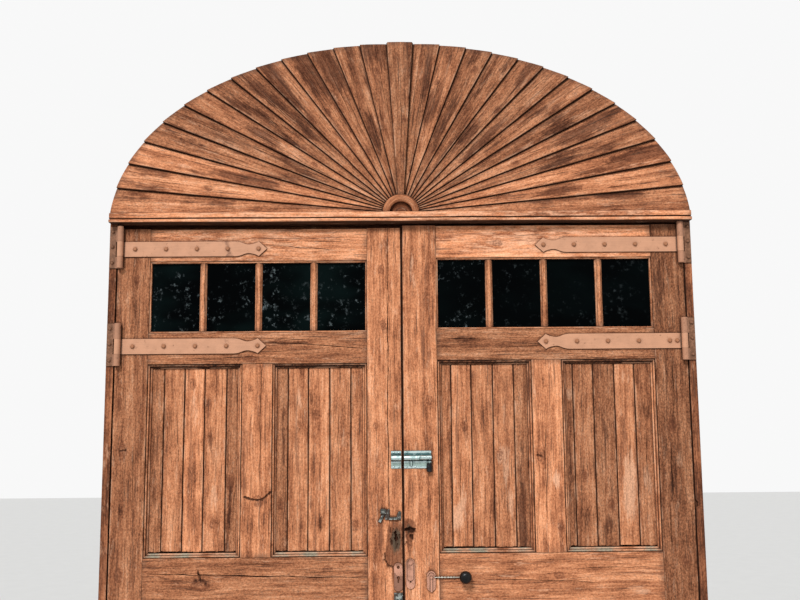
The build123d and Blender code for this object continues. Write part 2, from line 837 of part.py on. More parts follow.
with BuildPart() as handle:
    with BuildSketch(bolt_centre.offset(bolt_handle_x - bolt_ring_width / 2)):
        Circle(bolt_r)
    extrude(amount=bolt_ring_width)
    with BuildSketch(Plane.XY.offset(bolt_level)):
        with Locations((bolt_handle_x, bolt_axis_y)):
            Circle(bolt_pin_r)
    extrude(amount=-grip_from)
    with BuildSketch(bolt_centre.offset(bolt_handle_x - bolt_ring_width / 2)):
        Circle(bolt_neck_r + running_gap)
    extrude(amount=bolt_ring_width, mode=Mode.SUBTRACT)
handle.part.label = "bolt_handle"
export_step(handle.part, "parts/bolt_handle.step")

with BuildPart() as grip:
    with BuildSketch(Plane.XY.offset(bolt_level - grip_from)):
        with Locations((bolt_handle_x, bolt_axis_y)):
            Circle(grip_r)
    extrude(amount=-grip_length)
    chamfer(grip.edges().filter_by(GeomType.CIRCLE), 1.5)
grip.part.label = "bolt_grip"
export_step(grip.part, "parts/bolt_grip.step")

# Lock plates: the left one has lost its cover, the right one's hangs from a rivet
with BuildPart() as left_plate:
    with BuildSketch(upright(leaf_face)):
        with Locations((-left_plate_x, left_plate_bottom + left_plate_height / 2)):
            SlotOverall(left_plate_height, plate_width, rotation=90)
        with Locations(
            (-left_plate_x, keyhole_level),
            (-left_plate_x, left_plate_bottom + left_plate_height - plate_width / 2),
        ):
            Circle(keyhole_r, mode=Mode.SUBTRACT)
        with Locations((-left_plate_x, keyhole_level - keyhole_slot / 2)):
            Rectangle(keyhole_r, keyhole_slot, mode=Mode.SUBTRACT)
    extrude(amount=plate_thick)
    chamfer(left_plate.faces().sort_by(Axis.Y)[0].outer_wire().edges(), plate_break)
left_plate.part.label = "left_lock_plate"
export_step(left_plate.part, "parts/left_lock_plate.step")

cover_back = leaf_face - plate_thick - cover_gap
with BuildPart() as right_plate:
    with BuildSketch(upright(leaf_face)):
        with Locations((right_plate_x, right_plate_bottom + right_plate_height / 2)):
            SlotOverall(right_plate_height, plate_width, rotation=90)
        with Locations((right_plate_x, keyhole_level)):
            Circle(keyhole_r, mode=Mode.SUBTRACT)
        with Locations((right_plate_x, keyhole_level - keyhole_slot / 2)):
            Rectangle(keyhole_r, keyhole_slot, mode=Mode.SUBTRACT)
    extrude(amount=plate_thick)
    chamfer(right_plate.faces().sort_by(Axis.Y)[0].outer_wire().edges(), plate_break)
    with BuildSketch(upright(leaf_face)):
        with Locations((right_plate_x, rivet_level)):
            Circle(rivet_r)
    extrude(amount=plate_thick + cover_thick + 3 * cover_gap)
    with BuildSketch(upright(cover_back - cover_thick - cover_gap)):
        with Locations((right_plate_x, rivet_level)):
            Circle(rivet_head_r)
    extrude(amount=rivet_head_high, taper=45)
right_plate.part.label = "right_lock_plate"
export_step(right_plate.part, "parts/right_lock_plate.step")

cover_top = rivet_level + cover_width / 2
cover_height = cover_top - keyhole_level + cover_past_keyhole
with BuildPart() as cover:
    with BuildSketch(upright(cover_back)):
        with Locations((right_plate_x, cover_top - cover_height / 2)):
            SlotOverall(cover_height, cover_width, rotation=90)
        with Locations((right_plate_x, rivet_level)):
            Circle(rivet_r + running_gap, mode=Mode.SUBTRACT)
    extrude(amount=cover_thick)
cover.part.label = "lock_cover"
export_step(cover.part, "parts/lock_cover.step")

with BuildPart() as lower_plate:
    with BuildSketch(upright(leaf_face)):
        with Locations((-left_plate_x, left_plate_bottom - lower_plate_gap)):
            Rectangle(plate_width, lower_plate_height, align=(Align.CENTER, Align.MAX))
    extrude(amount=plate_thick)
    chamfer(lower_plate.faces().sort_by(Axis.Y)[0].edges(), plate_break)
lower_plate.part.label = "lower_lock_plate"
export_step(lower_plate.part, "parts/lower_lock_plate.step")

# Remains of an old latch on the left leaf, rusted fast
latch_corner = (-leaf_inner, lock_rail_top + latch_rise)
with BuildPart() as latch:
    with BuildSketch(upright(leaf_face)):
        with Locations(latch_corner):
            Polygon((-57, 0), (-43, 0), (-43, 33), (-57, 33), align=None)
    extrude(amount=3)
    with BuildSketch(upright(leaf_face)):
        with Locations(latch_corner):
            Polygon((-72, 19), (-55, 19), (-55, 35), (-72, 35), align=None)
    extrude(amount=8)
    with BuildSketch(upright(leaf_face)):
        with Locations(latch_corner):
            Polygon((-65, 20), (-57, 20), (-72, -9), (-80, -6), align=None)
    extrude(amount=5)
    with BuildSketch(upright(leaf_face)):
        with Locations(latch_corner):
            Polygon((-45, 0), (-11, 0), (-11, 8), (-45, 8), align=None)
    extrude(amount=7)
    with BuildSketch(upright(leaf_face)):
        with Locations(latch_corner):
            Polygon((-19, 0), (-6, -2), (-5, 24), (-10, 28), (-17, 16), align=None)
    extrude(amount=4)
latch.part.label = "old_latch"
export_step(latch.part, "parts/old_latch.step")

# Oval plate on the right leaf with a pin that hangs from its peg
pin_plate_top = pin_level - pin_plate_below + pin_plate_height
arc_level = pin_plate_top - plate_width / 2
with BuildPart() as pin_plate:
    with BuildSketch(upright(leaf_face)):
        with Locations((pin_plate_x, pin_plate_top - pin_plate_height / 2)):
            SlotOverall(pin_plate_height, plate_width, rotation=90)
    extrude(amount=plate_thick)
    with BuildSketch(upright(leaf_face - plate_thick)):
        with Locations((pin_plate_x, arc_level)):
            Circle(plate_width / 2)
            Circle(plate_width / 2 - pin_plate_rim, mode=Mode.SUBTRACT)
            Rectangle(
                plate_width, plate_width, align=(Align.CENTER, Align.MAX), mode=Mode.SUBTRACT
            )
    extrude(amount=plate_thick)
    with BuildSketch(upright(leaf_face - plate_thick)):
        with Locations((pin_plate_x, pin_level)):
            Circle(peg_r)
    extrude(amount=drop_pin_thick + 3 * cover_gap)
    with BuildSketch(upright(leaf_face - plate_thick - drop_pin_thick - 2 * cover_gap)):
        with Locations((pin_plate_x, pin_level)):
            Circle(peg_head_r)
    extrude(amount=peg_head_high)
pin_plate.part.label = "pin_plate"
export_step(pin_plate.part, "parts/pin_plate.step")

with BuildPart() as drop_pin:
    with BuildSketch(upright(leaf_face - plate_thick - cover_gap)):
        with Locations((pin_plate_x, pin_level)):
            Circle(drop_pin_width / 2 + 1)
        area(
            pin_plate_x - drop_pin_width / 2,
            pin_plate_x + drop_pin_width / 2,
            pin_level - drop_pin_length,
            pin_level,
        )
        with Locations((pin_plate_x, pin_level)):
            Circle(peg_r + running_gap, mode=Mode.SUBTRACT)
    extrude(amount=drop_pin_thick)
drop_pin.part.label = "drop_pin"
export_step(drop_pin.part, "parts/drop_pin.step")

knob_base = Plane(origin=(knob_x, leaf_face, knob_level), x_dir=(1, 0, 0), z_dir=(0, 0, 1))
knob_high = knob_reach + leaf_front_step
with BuildPart() as knob:
    with BuildSketch(knob_base):
        with BuildLine():
            Polyline((0, 0), (knob_stem_r, 0), (knob_stem_r, 1.6 * knob_r - knob_high))
            ThreePointArc(
                (knob_stem_r, 1.6 * knob_r - knob_high),
                (knob_r, 0.9 * knob_r - knob_high),
                (0.5 * knob_r, 0.07 * knob_r - knob_high),
            )
            Polyline((0.5 * knob_r, 0.07 * knob_r - knob_high), (0, -knob_high), (0, 0))
        make_face()
    revolve(axis=Axis((knob_x, leaf_face, knob_level), (0, 1, 0)))
knob.part.label = "pull_knob"
export_step(knob.part, "parts/pull_knob.step")

# Stiff wire from the knob's stem to the oval plate, with a few turns wound on it
wire_from = pin_plate_x + plate_width / 2 - peg_head_r
wire_to = knob_x - knob_stem_r + wire_end_play
wire_line = Plane(
    origin=(wire_from, leaf_face - plate_thick - wire_r, pin_level),
    x_dir=(0, 1, 0),
    z_dir=(1, 0, 0),
)
with BuildPart() as wire:
    with BuildSketch(wire_line):
        Circle(wire_r)
    extrude(amount=wire_to - wire_from)
    for turn in range(wire_wrap_count):
        with BuildSketch(wire_line.offset(wire_wrap_first + turn * wire_wrap_pitch)):
            Circle(wire_wrap_r)
        extrude(amount=wire_wrap_length)
wire.part.label = "pull_wire"
export_step(wire.part, "parts/pull_wire.step")
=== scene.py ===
"""Looks of the arched double door: weathered timber, painted iron, zinc, glass and wire.

Metres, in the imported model's frame: X to the right, Y into the house, Z up. The front
faces the street, towards -Y.
"""

import math

import bpy
import numpy as np
from mathutils import Matrix, Vector


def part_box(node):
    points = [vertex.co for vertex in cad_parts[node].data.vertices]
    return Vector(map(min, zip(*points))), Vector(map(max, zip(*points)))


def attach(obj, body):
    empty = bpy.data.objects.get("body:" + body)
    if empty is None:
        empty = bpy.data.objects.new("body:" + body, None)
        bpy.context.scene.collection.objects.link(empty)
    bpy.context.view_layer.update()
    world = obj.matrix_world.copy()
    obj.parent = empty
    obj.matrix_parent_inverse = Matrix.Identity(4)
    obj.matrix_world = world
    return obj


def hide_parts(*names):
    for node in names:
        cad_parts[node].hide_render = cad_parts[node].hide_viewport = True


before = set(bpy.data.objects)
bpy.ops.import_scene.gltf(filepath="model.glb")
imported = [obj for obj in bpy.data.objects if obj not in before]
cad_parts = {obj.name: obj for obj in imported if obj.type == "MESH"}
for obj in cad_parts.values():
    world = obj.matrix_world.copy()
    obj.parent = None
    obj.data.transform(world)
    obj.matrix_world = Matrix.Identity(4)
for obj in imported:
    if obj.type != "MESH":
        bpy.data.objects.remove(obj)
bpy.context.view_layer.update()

LEFT, RIGHT = -1, 1
HANDS = ((LEFT, "left"), (RIGHT, "right"))
X, Y, Z = np.eye(3)
STREET = -Y

# Places read from the frame
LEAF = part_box("left_hinge_stile")[0].y
FRAME_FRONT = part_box("left_jamb")[0].y
HUB_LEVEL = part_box("transom_moulding")[1].z
HUB = np.array((0, FRAME_FRONT, HUB_LEVEL))
ARCH_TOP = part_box("fan_centre_board")[1].z
PANEL_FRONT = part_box("left_upper_panels")[0].y

# Sizes of the head that the boxes don't give
ARCH_HIGH = 0.649
ARCH_CENTRE = ARCH_TOP - ARCH_HIGH
ARCH_WIDE = 0.998
BOARD_COUNT = 27
BOARD_GAP = 0.00004
BOARD_THICK = 0.012
STEP_AT_RIM = 0.010
STEP_AT_HUB = 0.004
HUB_R = 0.062
CENTRE_PROUD = 0.008
CENTRE_FOOT = 0.052
CENTRE_HALF_HUB = 0.010
CENTRE_HALF_RIM = 0.045
CENTRE_PAST_TOP = 0.010
RIM_PLAY = 0.0008

# Sizes of the leaves' sections
LEAF_INNER = 0.003
TONGUE = 0.00299
TONGUE_FROM = 0.012
TONGUE_TO = 0.028
LEAF_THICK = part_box("left_hinge_stile")[1].y - LEAF
BEVEL_WIDTH = 0.015
BAR_NOSE = 0.011
BAR_WIDTH = 0.025
BAR_PITCH = 0.188
BEAD_WIDTH = 0.0055
BEAD_FRONT = 0.003
BEAD_FOOT = 0.012
GLASS_DEPTH = 0.014

# Roughness of the worn timber's edges and faces
ARRIS = 0.0022
ROW_STEP = 0.013
COLUMN_STEP = 0.009
NOISE_CELLS = 53
WOOD_CREASE = 38
GRAIN_RELIEF = 0.00045
GRAIN_FROM_EDGE = 0.0009
CRACK_WANDER = 0.0022
CRACK_FROM_EDGE = 0.005
CRACK_LEAST = 0.0002
GOUGE_SLOPE = 0.0012
TORN_FIBRES = 6
KNOT_LENGTHENED = 0.6
KNOT_REACH = 7
# Points close to a gouge, as how far around it and their step, along the grain and across
GOUGE_ROWS = (0.006, 0.0022)
GOUGE_COLUMNS = (0.004, 0.0035)
# Columns beside a board's edge, as the most and the share of its width that they lie from it
RIMS = ((0.001, 0.1), (0.003, 0.3))
# How much of the painted shade along an edge the first columns have
RIM_SHADE = (1.0, 0.75, 0.12)
SIDE_UPPER = 0.0035
INSET_BEHIND = 0.003


def noise(x, y, seed):
    """Soft random waves from -1 to 1 over x and y, always the same for one seed."""
    table = np.random.default_rng(seed).uniform(-1, 1, (NOISE_CELLS, NOISE_CELLS))
    x, y = np.broadcast_arrays(np.asarray(x, float), np.asarray(y, float))
    i, j = np.floor(x).astype(int), np.floor(y).astype(int)
    u, v = x - i, y - j
    u, v = u * u * (3 - 2 * u), v * v * (3 - 2 * v)
    i, j, i2, j2 = i % NOISE_CELLS, j % NOISE_CELLS, (i + 1) % NOISE_CELLS, (j + 1) % NOISE_CELLS
    low = table[i, j] * (1 - u) + table[i2, j] * u
    high = table[i, j2] * (1 - u) + table[i2, j2] * u
    return low * (1 - v) + high * v


def seed_of(name):
    """A whole number that stands for a name, the same in every run."""
    return sum(ord(c) * 31 ** (k % 5) for k, c in enumerate(name)) % 100003


def mesh_object(name, points, faces, crease):
    """An object of its own mesh, smooth up to the crease angle in degrees."""
    mesh = bpy.data.meshes.new(name)
    mesh.from_pydata(points, [], faces)
    mesh.shade_smooth()
    mesh.set_sharp_from_angle(angle=math.radians(crease))
    item = bpy.data.objects.new(name, mesh)
    bpy.context.scene.collection.objects.link(item)
    return item


class Piece:
    """A mesh being made, with the values on its points that the wood shader reads."""

    def __init__(self):
        self.points = []
        self.faces = []
        self.values = {"grain": [], "knot": [], "wear": [], "tone": []}
        self.total = 0

    def loft(self, points, flip):
        """Adds a closed bar from an array of rows by columns by 3, capped at both ends."""
        rows, columns = points.shape[:2]
        number = np.arange(rows * columns).reshape(rows, columns) + self.total
        beside = np.roll(number, -1, axis=1)
        quads = np.stack([number[:-1], beside[:-1], beside[1:], number[1:]], -1).reshape(-1, 4)
        caps = [number[0][::-1], number[-1]]
        if flip:
            quads = quads[:, ::-1]
            caps = [cap[::-1] for cap in caps]
        self.points.append(points.reshape(-1, 3))
        self.faces += quads.tolist() + [cap.tolist() for cap in caps]
        self.total += rows * columns

    def note(self, **values):
        for name, triple in values.items():
            whole = np.broadcast_arrays(*triple)
            self.values[name].append(np.stack(whole, -1).reshape(-1, 3))

    def build(self, name):
        item = mesh_object(name, np.concatenate(self.points).tolist(), self.faces, WOOD_CREASE)
        for value, stacks in self.values.items():
            layer = item.data.attributes.new(value, "FLOAT_VECTOR", "POINT")
            layer.data.foreach_set("vector", np.concatenate(stacks).astype(np.float32).ravel())
        return item


def spread(first, last, step, dense=()):
    """Places from first to last about a step apart, closer where dense says (from, to, step)."""
    cuts = {first, last}
    for low, high, _ in dense:
        cuts |= {min(max(low, first), last), min(max(high, first), last)}
    cuts = sorted(cuts)
    places = [first]
    for low, high in zip(cuts, cuts[1:]):
        middle = (low + high) / 2
        own = min([step] + [s for a, b, s in dense if a <= middle <= b])
        count = max(1, round((high - low) / own))
        places += [low + (high - low) * k / count for k in range(1, count + 1)]
    return np.array(places)


def around(places, margin, step):
    return (min(places) - margin, max(places) + margin, step)


def edge_gap(across_at, low, high):
    return np.minimum(across_at - low[:, None], high[:, None] - across_at)


def plain_face(rows, across, seed, cracks, arris, column_step, dense_columns, wander, edge_shade):
    """A flat board's face: places across it, their heights, cracks' depth, the darkness of the cracks and
    of the painted shade along the edges, and the edges.
    """
    low, high = [edge(rows) if callable(edge) else np.full(len(rows), float(edge)) for edge in across]
    width = high - low
    edges = low, high
    low = low + wander * (1 + noise(rows * 11, 0, seed + 1)) / 2
    high = high - wander * (1 + noise(rows * 11, 0, seed + 2)) / 2
    rims = [np.minimum(most, share * width) for most, share in RIMS]
    guides = [low, low + rims[0], low + rims[1]]
    marks = [0, 0, 0]
    depths = []
    for s0, t0, s1, t1, wide, deep in sorted(cracks, key=lambda crack: crack[1] + crack[3]):
        run = np.clip((rows - s0) / (s1 - s0), 0, 1)
        inside = (rows >= s0) & (rows <= s1)
        taper = np.where(inside, np.sin(np.pi * np.clip(run, 0.001, 0.999)) ** 0.4, 0)
        path = t0 + (t1 - t0) * run + CRACK_WANDER * noise(rows * 23, 0, seed + 3 + len(depths))
        path = np.clip(path, low + CRACK_FROM_EDGE, high - CRACK_FROM_EDGE)
        half = np.maximum(wide / 2 * taper * (1 + 0.5 * noise(rows * 60, 3, seed + 9)), CRACK_LEAST)
        guides += [path - half, path, path + half]
        marks += [0, len(depths) + 1, 0]
        depths.append(deep * taper)
    guides += [high - rims[1], high - rims[0], high]
    marks += [0, 0, 0]
    nothing = np.zeros(len(rows))
    columns, deepen, told = [guides[0]], [nothing], [nothing]
    for k in range(1, len(guides)):
        gap = guides[k] - guides[k - 1]
        middle = float(np.mean(guides[k] + guides[k - 1])) / 2
        own = min([column_step] + [s for a, b, s in dense_columns if a <= middle <= b])
        count = max(1, round(float(np.max(gap)) / own)) if 2 < k < len(guides) - 2 else 1
        if marks[k] or marks[k - 1]:
            count = 1
        for n in range(1, count + 1):
            depth = depths[marks[k] - 1] if n == count and marks[k] else nothing
            columns.append(guides[k - 1] + gap * n / count)
            deepen.append(depth)
            told.append((depth > 0) * 1.0)
    across_at = np.maximum.accumulate(np.array(columns).T, axis=1)
    darkness = np.array(told).T
    wear = arris * (1 + 0.6 * noise(rows * 17, 5, seed + 4))[:, None]
    wear = np.minimum(wear, 0.25 * width[:, None])
    inside = np.clip(wear - edge_gap(across_at, low, high), 0, None)
    height = -(wear - np.sqrt(np.clip(wear**2 - inside**2, 0, None)))
    # Painted shade along both edges of the face, as edge_shade says
    for column, share in enumerate(RIM_SHADE):
        for at, amount in ((column, edge_shade[0]), (-1 - column, edge_shade[1])):
            darkness[:, at] = np.maximum(darkness[:, at], share * amount)
    return across_at, height, np.array(deepen).T, darkness, edges


def moulded_face(rows, section, seed, wander):
    """The same for a bar with a section of (across, height, painted shade)."""
    across, height, darkness = [np.tile(values, (len(rows), 1)) for values in np.array(section, float).T]
    waves = rows[:, None] * 9, across * 60
    across_at = across + wander * noise(*waves, seed + 1)
    height = height - wander * (1 + noise(*waves, seed)) / 2
    return across_at, height, np.zeros_like(height), darkness, (across_at[:, 0], across_at[:, -1])


def dig(height, rot, along_at, across_at, gouges, seed):
    """The heights and the darkness with the gouges cut in."""
    for k, (points, wide, deep) in enumerate(gouges):
        reach = np.full_like(height, 1.0)
        for (s0, t0), (s1, t1) in zip(points, points[1:]):
            run_s, run_t = s1 - s0, t1 - t0
            on = ((along_at - s0) * run_s + (across_at - t0) * run_t) / (run_s**2 + run_t**2)
            on = np.clip(on, 0, 1)
            off = np.hypot(along_at - s0 - on * run_s, across_at - t0 - on * run_t)
            reach = np.minimum(reach, off)
        half = wide / 2 * (1 + 1.2 * noise(along_at * 190, across_at * 190, seed + 20 + k))
        cut = np.clip((half + GOUGE_SLOPE - reach) / GOUGE_SLOPE, 0, 1)
        height = height - deep * cut
        # A gouge gets a little darkness of its own and more with depth, as painted shade in the hollow
        rot = np.maximum(rot, cut * min(1.0, 0.12 + deep / 0.008))
    return height, rot


def nearest_knot(s_at, t_at, knots):
    """Way from the nearest knot to each place, and its radius, or 0 where none is near."""
    near = np.full(s_at.shape, 1e9)
    knot_s, knot_t, knot_r = np.ones_like(near), np.ones_like(near), np.zeros_like(near)
    for s, t, r in knots:
        gap = np.hypot((s_at - s) * KNOT_LENGTHENED, t_at - t)
        closer = gap < near
        near = np.where(closer, gap, near)
        knot_s = np.where(closer, s_at - s, knot_s)
        knot_t = np.where(closer, t_at - t, knot_t)
        knot_r = np.where(closer, r * (gap < KNOT_REACH * r), knot_r)
    return knot_s, knot_t, knot_r


def patches(s_at, t_at, spots):
    """How strongly soft round patches of (s, t, half length, half width, strength) reach each place."""
    amount = np.zeros(s_at.shape)
    for s, t, half_s, half_t, strength in spots:
        far = ((s_at - s) / half_s) ** 2 + ((t_at - t) / half_t) ** 2
        amount = amount + strength * np.exp(-far)
    return amount


def board(
    piece, place, along, across, *, thick, seed, start=None, end=None, front=None, section=None,
    low_side=(), high_side=(), cracks=(), knots=(), relief=None, light=0.0, pale=(), dark=(),
    arris=ARRIS, row_step=ROW_STEP, column_step=COLUMN_STEP, dense_rows=(), dense_columns=(),
    wander=0.0005, gouges=(), edge_shade=(0.5, 0.5), side_shade=0.8,
):
    """Adds one board to a piece.

    place is (origin, direction along the grain, direction across, outward). along is the
    range of s, across the range of t as two numbers or two functions of s. start and end
    shift the board's ends by a function of t, and front gives its height over the face.
    section is a list of (t, height, painted shade) instead, for a moulded bar. low_side and
    high_side are lists of (depth, how far it stands out there). cracks are (s, t, s, t, width,
    depth), knots (s, t, radius), pale and dark (s, t, half length, half width, strength), and
    gouges (line of (s, t), width, depth). relief gives the depth and the darkness of what has
    rotted away. edge_shade blackens the low and the high edge and side_shade the sides, as
    painted shade in the joints; arris is the radius of the worn edges, and wander is how far
    the edges stray.
    """
    origin, grain_way, cross_way, out = place
    for points, _, _ in gouges:
        s_at, t_at = zip(*points)
        dense_rows = (*dense_rows, around(s_at, *GOUGE_ROWS))
        dense_columns = (*dense_columns, around(t_at, *GOUGE_COLUMNS))
    first, last = along
    rows = spread(first, last, row_step, dense_rows)
    if section is None:
        face = plain_face(
            rows, across, seed, cracks, arris, column_step, dense_columns, wander, edge_shade
        )
    else:
        face = moulded_face(rows, section, seed, wander)
    across_at, height, lowering, darkness, (low, high) = face
    edge = edge_gap(across_at, across_at[:, 0], across_at[:, -1])

    along_at = np.repeat(rows[:, None], across_at.shape[1], axis=1)
    share = ((rows - first) / (last - first))[:, None]
    if start:
        along_at = along_at + (1 - share) * start(across_at)
    if end:
        along_at = along_at + share * end(across_at)
    if front:
        height = height + front(along_at, across_at)
    grain_waves = noise(along_at * 7, across_at * 90, seed + 5)
    height = height - lowering - GRAIN_RELIEF * (1 + grain_waves) * (edge > GRAIN_FROM_EDGE)
    rot = np.zeros_like(height)
    if relief:
        extra, rot = relief(along_at, across_at)
        height = height - extra
    height, rot = dig(height, rot, along_at, across_at, gouges, seed)

    plain = ((thick, 0.0),)
    if section is None and thick > 0.005:
        plain = ((SIDE_UPPER, 0.0), (thick, 0.0))
    inset = np.minimum(INSET_BEHIND, 0.25 * (high - low))
    # The sides carry side_shade, painted shade in the gaps beside the board
    sides = [(high + stands, depth, side_shade) for depth, stands in high_side or plain]
    sides.append((sides[-1][0] - inset, thick, 0.0))
    high_count = len(sides)
    others = [(low - stands, depth, side_shade) for depth, stands in low_side or plain]
    sides.append((others[-1][0] + inset, thick, 0.0))
    sides += reversed(others)
    loop_t = np.concatenate([across_at] + [t[:, None] for t, _, _ in sides], axis=1)
    loop_h = np.concatenate([height] + [np.full((len(rows), 1), -d) for _, d, _ in sides], axis=1)
    ends = [along_at[:, -1:]] * high_count + [along_at[:, :1]] * (len(sides) - high_count)
    loop_s = np.concatenate([along_at] + ends, axis=1)
    pad = np.zeros((len(rows), len(sides)))
    side_marks = pad + np.array([mark for _, _, mark in sides])
    marked = np.concatenate([np.maximum(darkness, rot), side_marks], axis=1)

    ways = ((loop_s, grain_way), (loop_t, cross_way), (loop_h, out))
    points = origin + sum(amount[..., None] * way for amount, way in ways)
    piece.loft(points, np.dot(np.cross(cross_way, grain_way), out) < 0)

    shift = np.random.default_rng(seed).uniform(-40, 40, 2)
    end_gap = np.minimum(rows - first, last - rows)[:, None]
    # wear holds the distance from the edge, the distance from the ends, and the darkness of cracks, rot
    # and painted shade
    piece.note(
        grain=(loop_s + shift[0], loop_t + shift[1], -loop_h),
        knot=nearest_knot(loop_s, loop_t, knots),
        wear=(np.concatenate([edge, pad], axis=1), end_gap, marked),
        tone=(np.full(loop_s.shape, light), patches(loop_s, loop_t, pale), patches(loop_s, loop_t, dark)),
    )


class Wire:
    """An output socket. Sums and products of wires add nodes to the wire's shader."""

    def __init__(self, shader, socket):
        self.shader = shader
        self.socket = socket

    def __add__(self, other):
        return self.shader.maths("ADD", self, other)

    def __sub__(self, other):
        return self.shader.maths("SUBTRACT", self, other)

    def __mul__(self, other):
        return self.shader.maths("MULTIPLY", self, other)

    def __truediv__(self, other):
        return self.shader.maths("DIVIDE", self, other)


class Shader:
    """The nodes of a material or of the world. Most methods add one and give back its wire."""

    def __init__(self, owner):
        owner.use_nodes = True
        self.owner = owner
        self.nodes = owner.node_tree.nodes
        self.links = owner.node_tree.links
        self.nodes.clear()
        self.colour = None

    def add(self, kind, inputs=(), **settings):
        node = self.nodes.new("ShaderNode" + kind)
        for name, value in settings.items():
            setattr(node, name, value)
        for key, value in dict(inputs).items():
            if isinstance(value, Wire):
                self.links.new(value.socket, node.inputs[key])
            elif value is not None:
                node.inputs[key].default_value = value
        return node

    def out(self, kind, inputs=(), key=0, **settings):
        return Wire(self, self.add(kind, inputs, **settings).outputs[key])

    def attribute(self, name):
        return self.out("Attribute", key="Vector", attribute_name=name)

    def place(self):
        return self.out("TexCoord", key="Object")

    def parts(self, vector):
        return [Wire(self, socket) for socket in self.add("SeparateXYZ", {0: vector}).outputs[:3]]

    def vector(self, x, y, z):
        return self.out("CombineXYZ", {0: x, 1: y, 2: z})

    def scaled(self, vector, by):
        return self.out("VectorMath", {0: vector, 1: by}, operation="MULTIPLY")

    def length(self, vector):
        return self.out("VectorMath", {0: vector}, key="Value", operation="LENGTH")

    def maths(self, operation, a, b=None):
        return self.out("Math", {0: a, 1: b}, operation=operation)

    def most(self, a, b):
        return self.maths("MAXIMUM", a, b)

    def noise(self, vector, by, detail=3.0, rough=0.55):
        by = by if isinstance(by, tuple) else (by, by, by)
        made = {"Vector": self.scaled(vector, by), "Scale": 1.0, "Detail": detail, "Roughness": rough}
        return self.out("TexNoise", made)

    def between(self, value, low, high, to_low=0.0, to_high=1.0):
        made = {0: value, 1: low, 2: high, 3: to_low, 4: to_high}
        return self.out("MapRange", made, interpolation_type="SMOOTHSTEP")

    def ramp(self, value, stops):
        node = self.add("ValToRGB", {0: value})
        ramp = node.color_ramp
        while len(ramp.elements) < len(stops):
            ramp.elements.new(0.5)
        for element, (at, colour) in zip(ramp.elements, stops):
            element.position = at
            element.color = (*colour, 1)
        return Wire(self, node.outputs[0])

    def mix(self, share, a, b, blend="MIX"):
        a, b = [(*v, 1) if isinstance(v, tuple) else v for v in (a, b)]
        return self.out("Mix", {0: share, 6: a, 7: b}, key=2, data_type="RGBA", blend_type=blend)

    def bump(self, height, distance, strength=1.0):
        return self.out("Bump", {"Height": height, "Distance": distance, "Strength": strength})

    def crevice_shade(self, reach):
        """Painted shade: 1 in a corner or beside an edge that stands over the place, 0 in the open."""
        unshut = self.out("AmbientOcclusion", {"Distance": reach}, key="AO", samples=6)
        return self.between(unshut, 0.985, 0.55)

    def coat(self, share, shade):
        """Lays a shade over the colour so far, as far as share says."""
        self.colour = self.mix(share, self.colour, shade)

    def shaded(self, by):
        return self.mix(1.0, self.colour, by, "MULTIPLY")

    def surface(self, **inputs):
        names = {key.replace("_", " ").title().replace("Ior", "IOR"): inputs[key] for key in inputs}
        names["Base Color"] = self.colour
        self.add("OutputMaterial", {0: self.out("BsdfPrincipled", names)})
        return self.owner


def new_material(name):
    return Shader(bpy.data.materials.new(name))


def times(colour, share):
    return tuple(share * part for part in colour)


WOOD_RAMP = (
    (0.0, (0.085, 0.028, 0.013)), (0.25, (0.235, 0.081, 0.036)), (0.5, (0.455, 0.175, 0.08)),
    (0.72, (0.625, 0.27, 0.132)), (1.0, (0.78, 0.402, 0.238)),
)
PALE_WOOD = (0.64, 0.350, 0.215)
BLEACHED_WOOD = (0.36, 0.32, 0.235)
DARK_WOOD = (0.085, 0.042, 0.028)
STAIN_BROWN = (0.190, 0.078, 0.042)
KNOT_BROWN = (0.130, 0.042, 0.020)
ROT_BROWN = (0.060, 0.046, 0.030)
HEAD_BROWN = (0.330, 0.135, 0.062)
# The colour of the painted shade in the timber's corners
CREVICE_SHADE_BROWN = (0.050, 0.016, 0.007)
# Black of the cracks and of the painted shade in gaps, grooves and under edges
CRACK_AND_SHADE_BLACK = (0.024, 0.0080, 0.0036)


# Waves in the wood's colour: scale (along, across, across), detail, roughness
FIBRE_WAVES = (
    ((1.6, 24.0, 24.0), 4.0, 0.6), ((4.5, 105.0, 105.0), 5.0, 0.75), ((24.0, 520.0, 520.0), 3.0, 0.6),
)
SPOT_WAVES = (((135.0, 210.0, 210.0), 3.0, 0.7), ((13.0, 26.0, 26.0), 6.0, 0.66))
WAVE_SHARES = (1.15, 1.25, 0.5, 0.95, 0.9)


def timber_ways(s, flow):
    """Along, across and depth of a piece without point values, upright, level or round a centre."""
    x, y, z = s.parts(s.place())
    if flow == "upright":
        return z, x, y
    if flow == "level":
        return x, z, y
    rise = z - flow
    across = s.length(s.vector(x, rise, 0.0))
    return s.maths("ARCTAN2", rise, x) * across, across, y


def near_knot(s, grain):
    """Way across from the nearest knot, distance in its radii, unevenness and pull on the grain."""
    knot_s, knot_t, knot_r = s.parts(s.attribute("knot"))
    near = s.length(s.vector(knot_s * KNOT_LENGTHENED, knot_t, 0.0))
    uneven = s.between(s.noise(grain, 130.0, 2.0), 0.3, 0.7, -0.35, 0.35)
    knot = near / s.most(knot_r, 0.0001)
    pull = s.maths("EXPONENT", knot * knot * -0.3)
    return knot_t, knot, uneven, knot_t * pull * 0.8


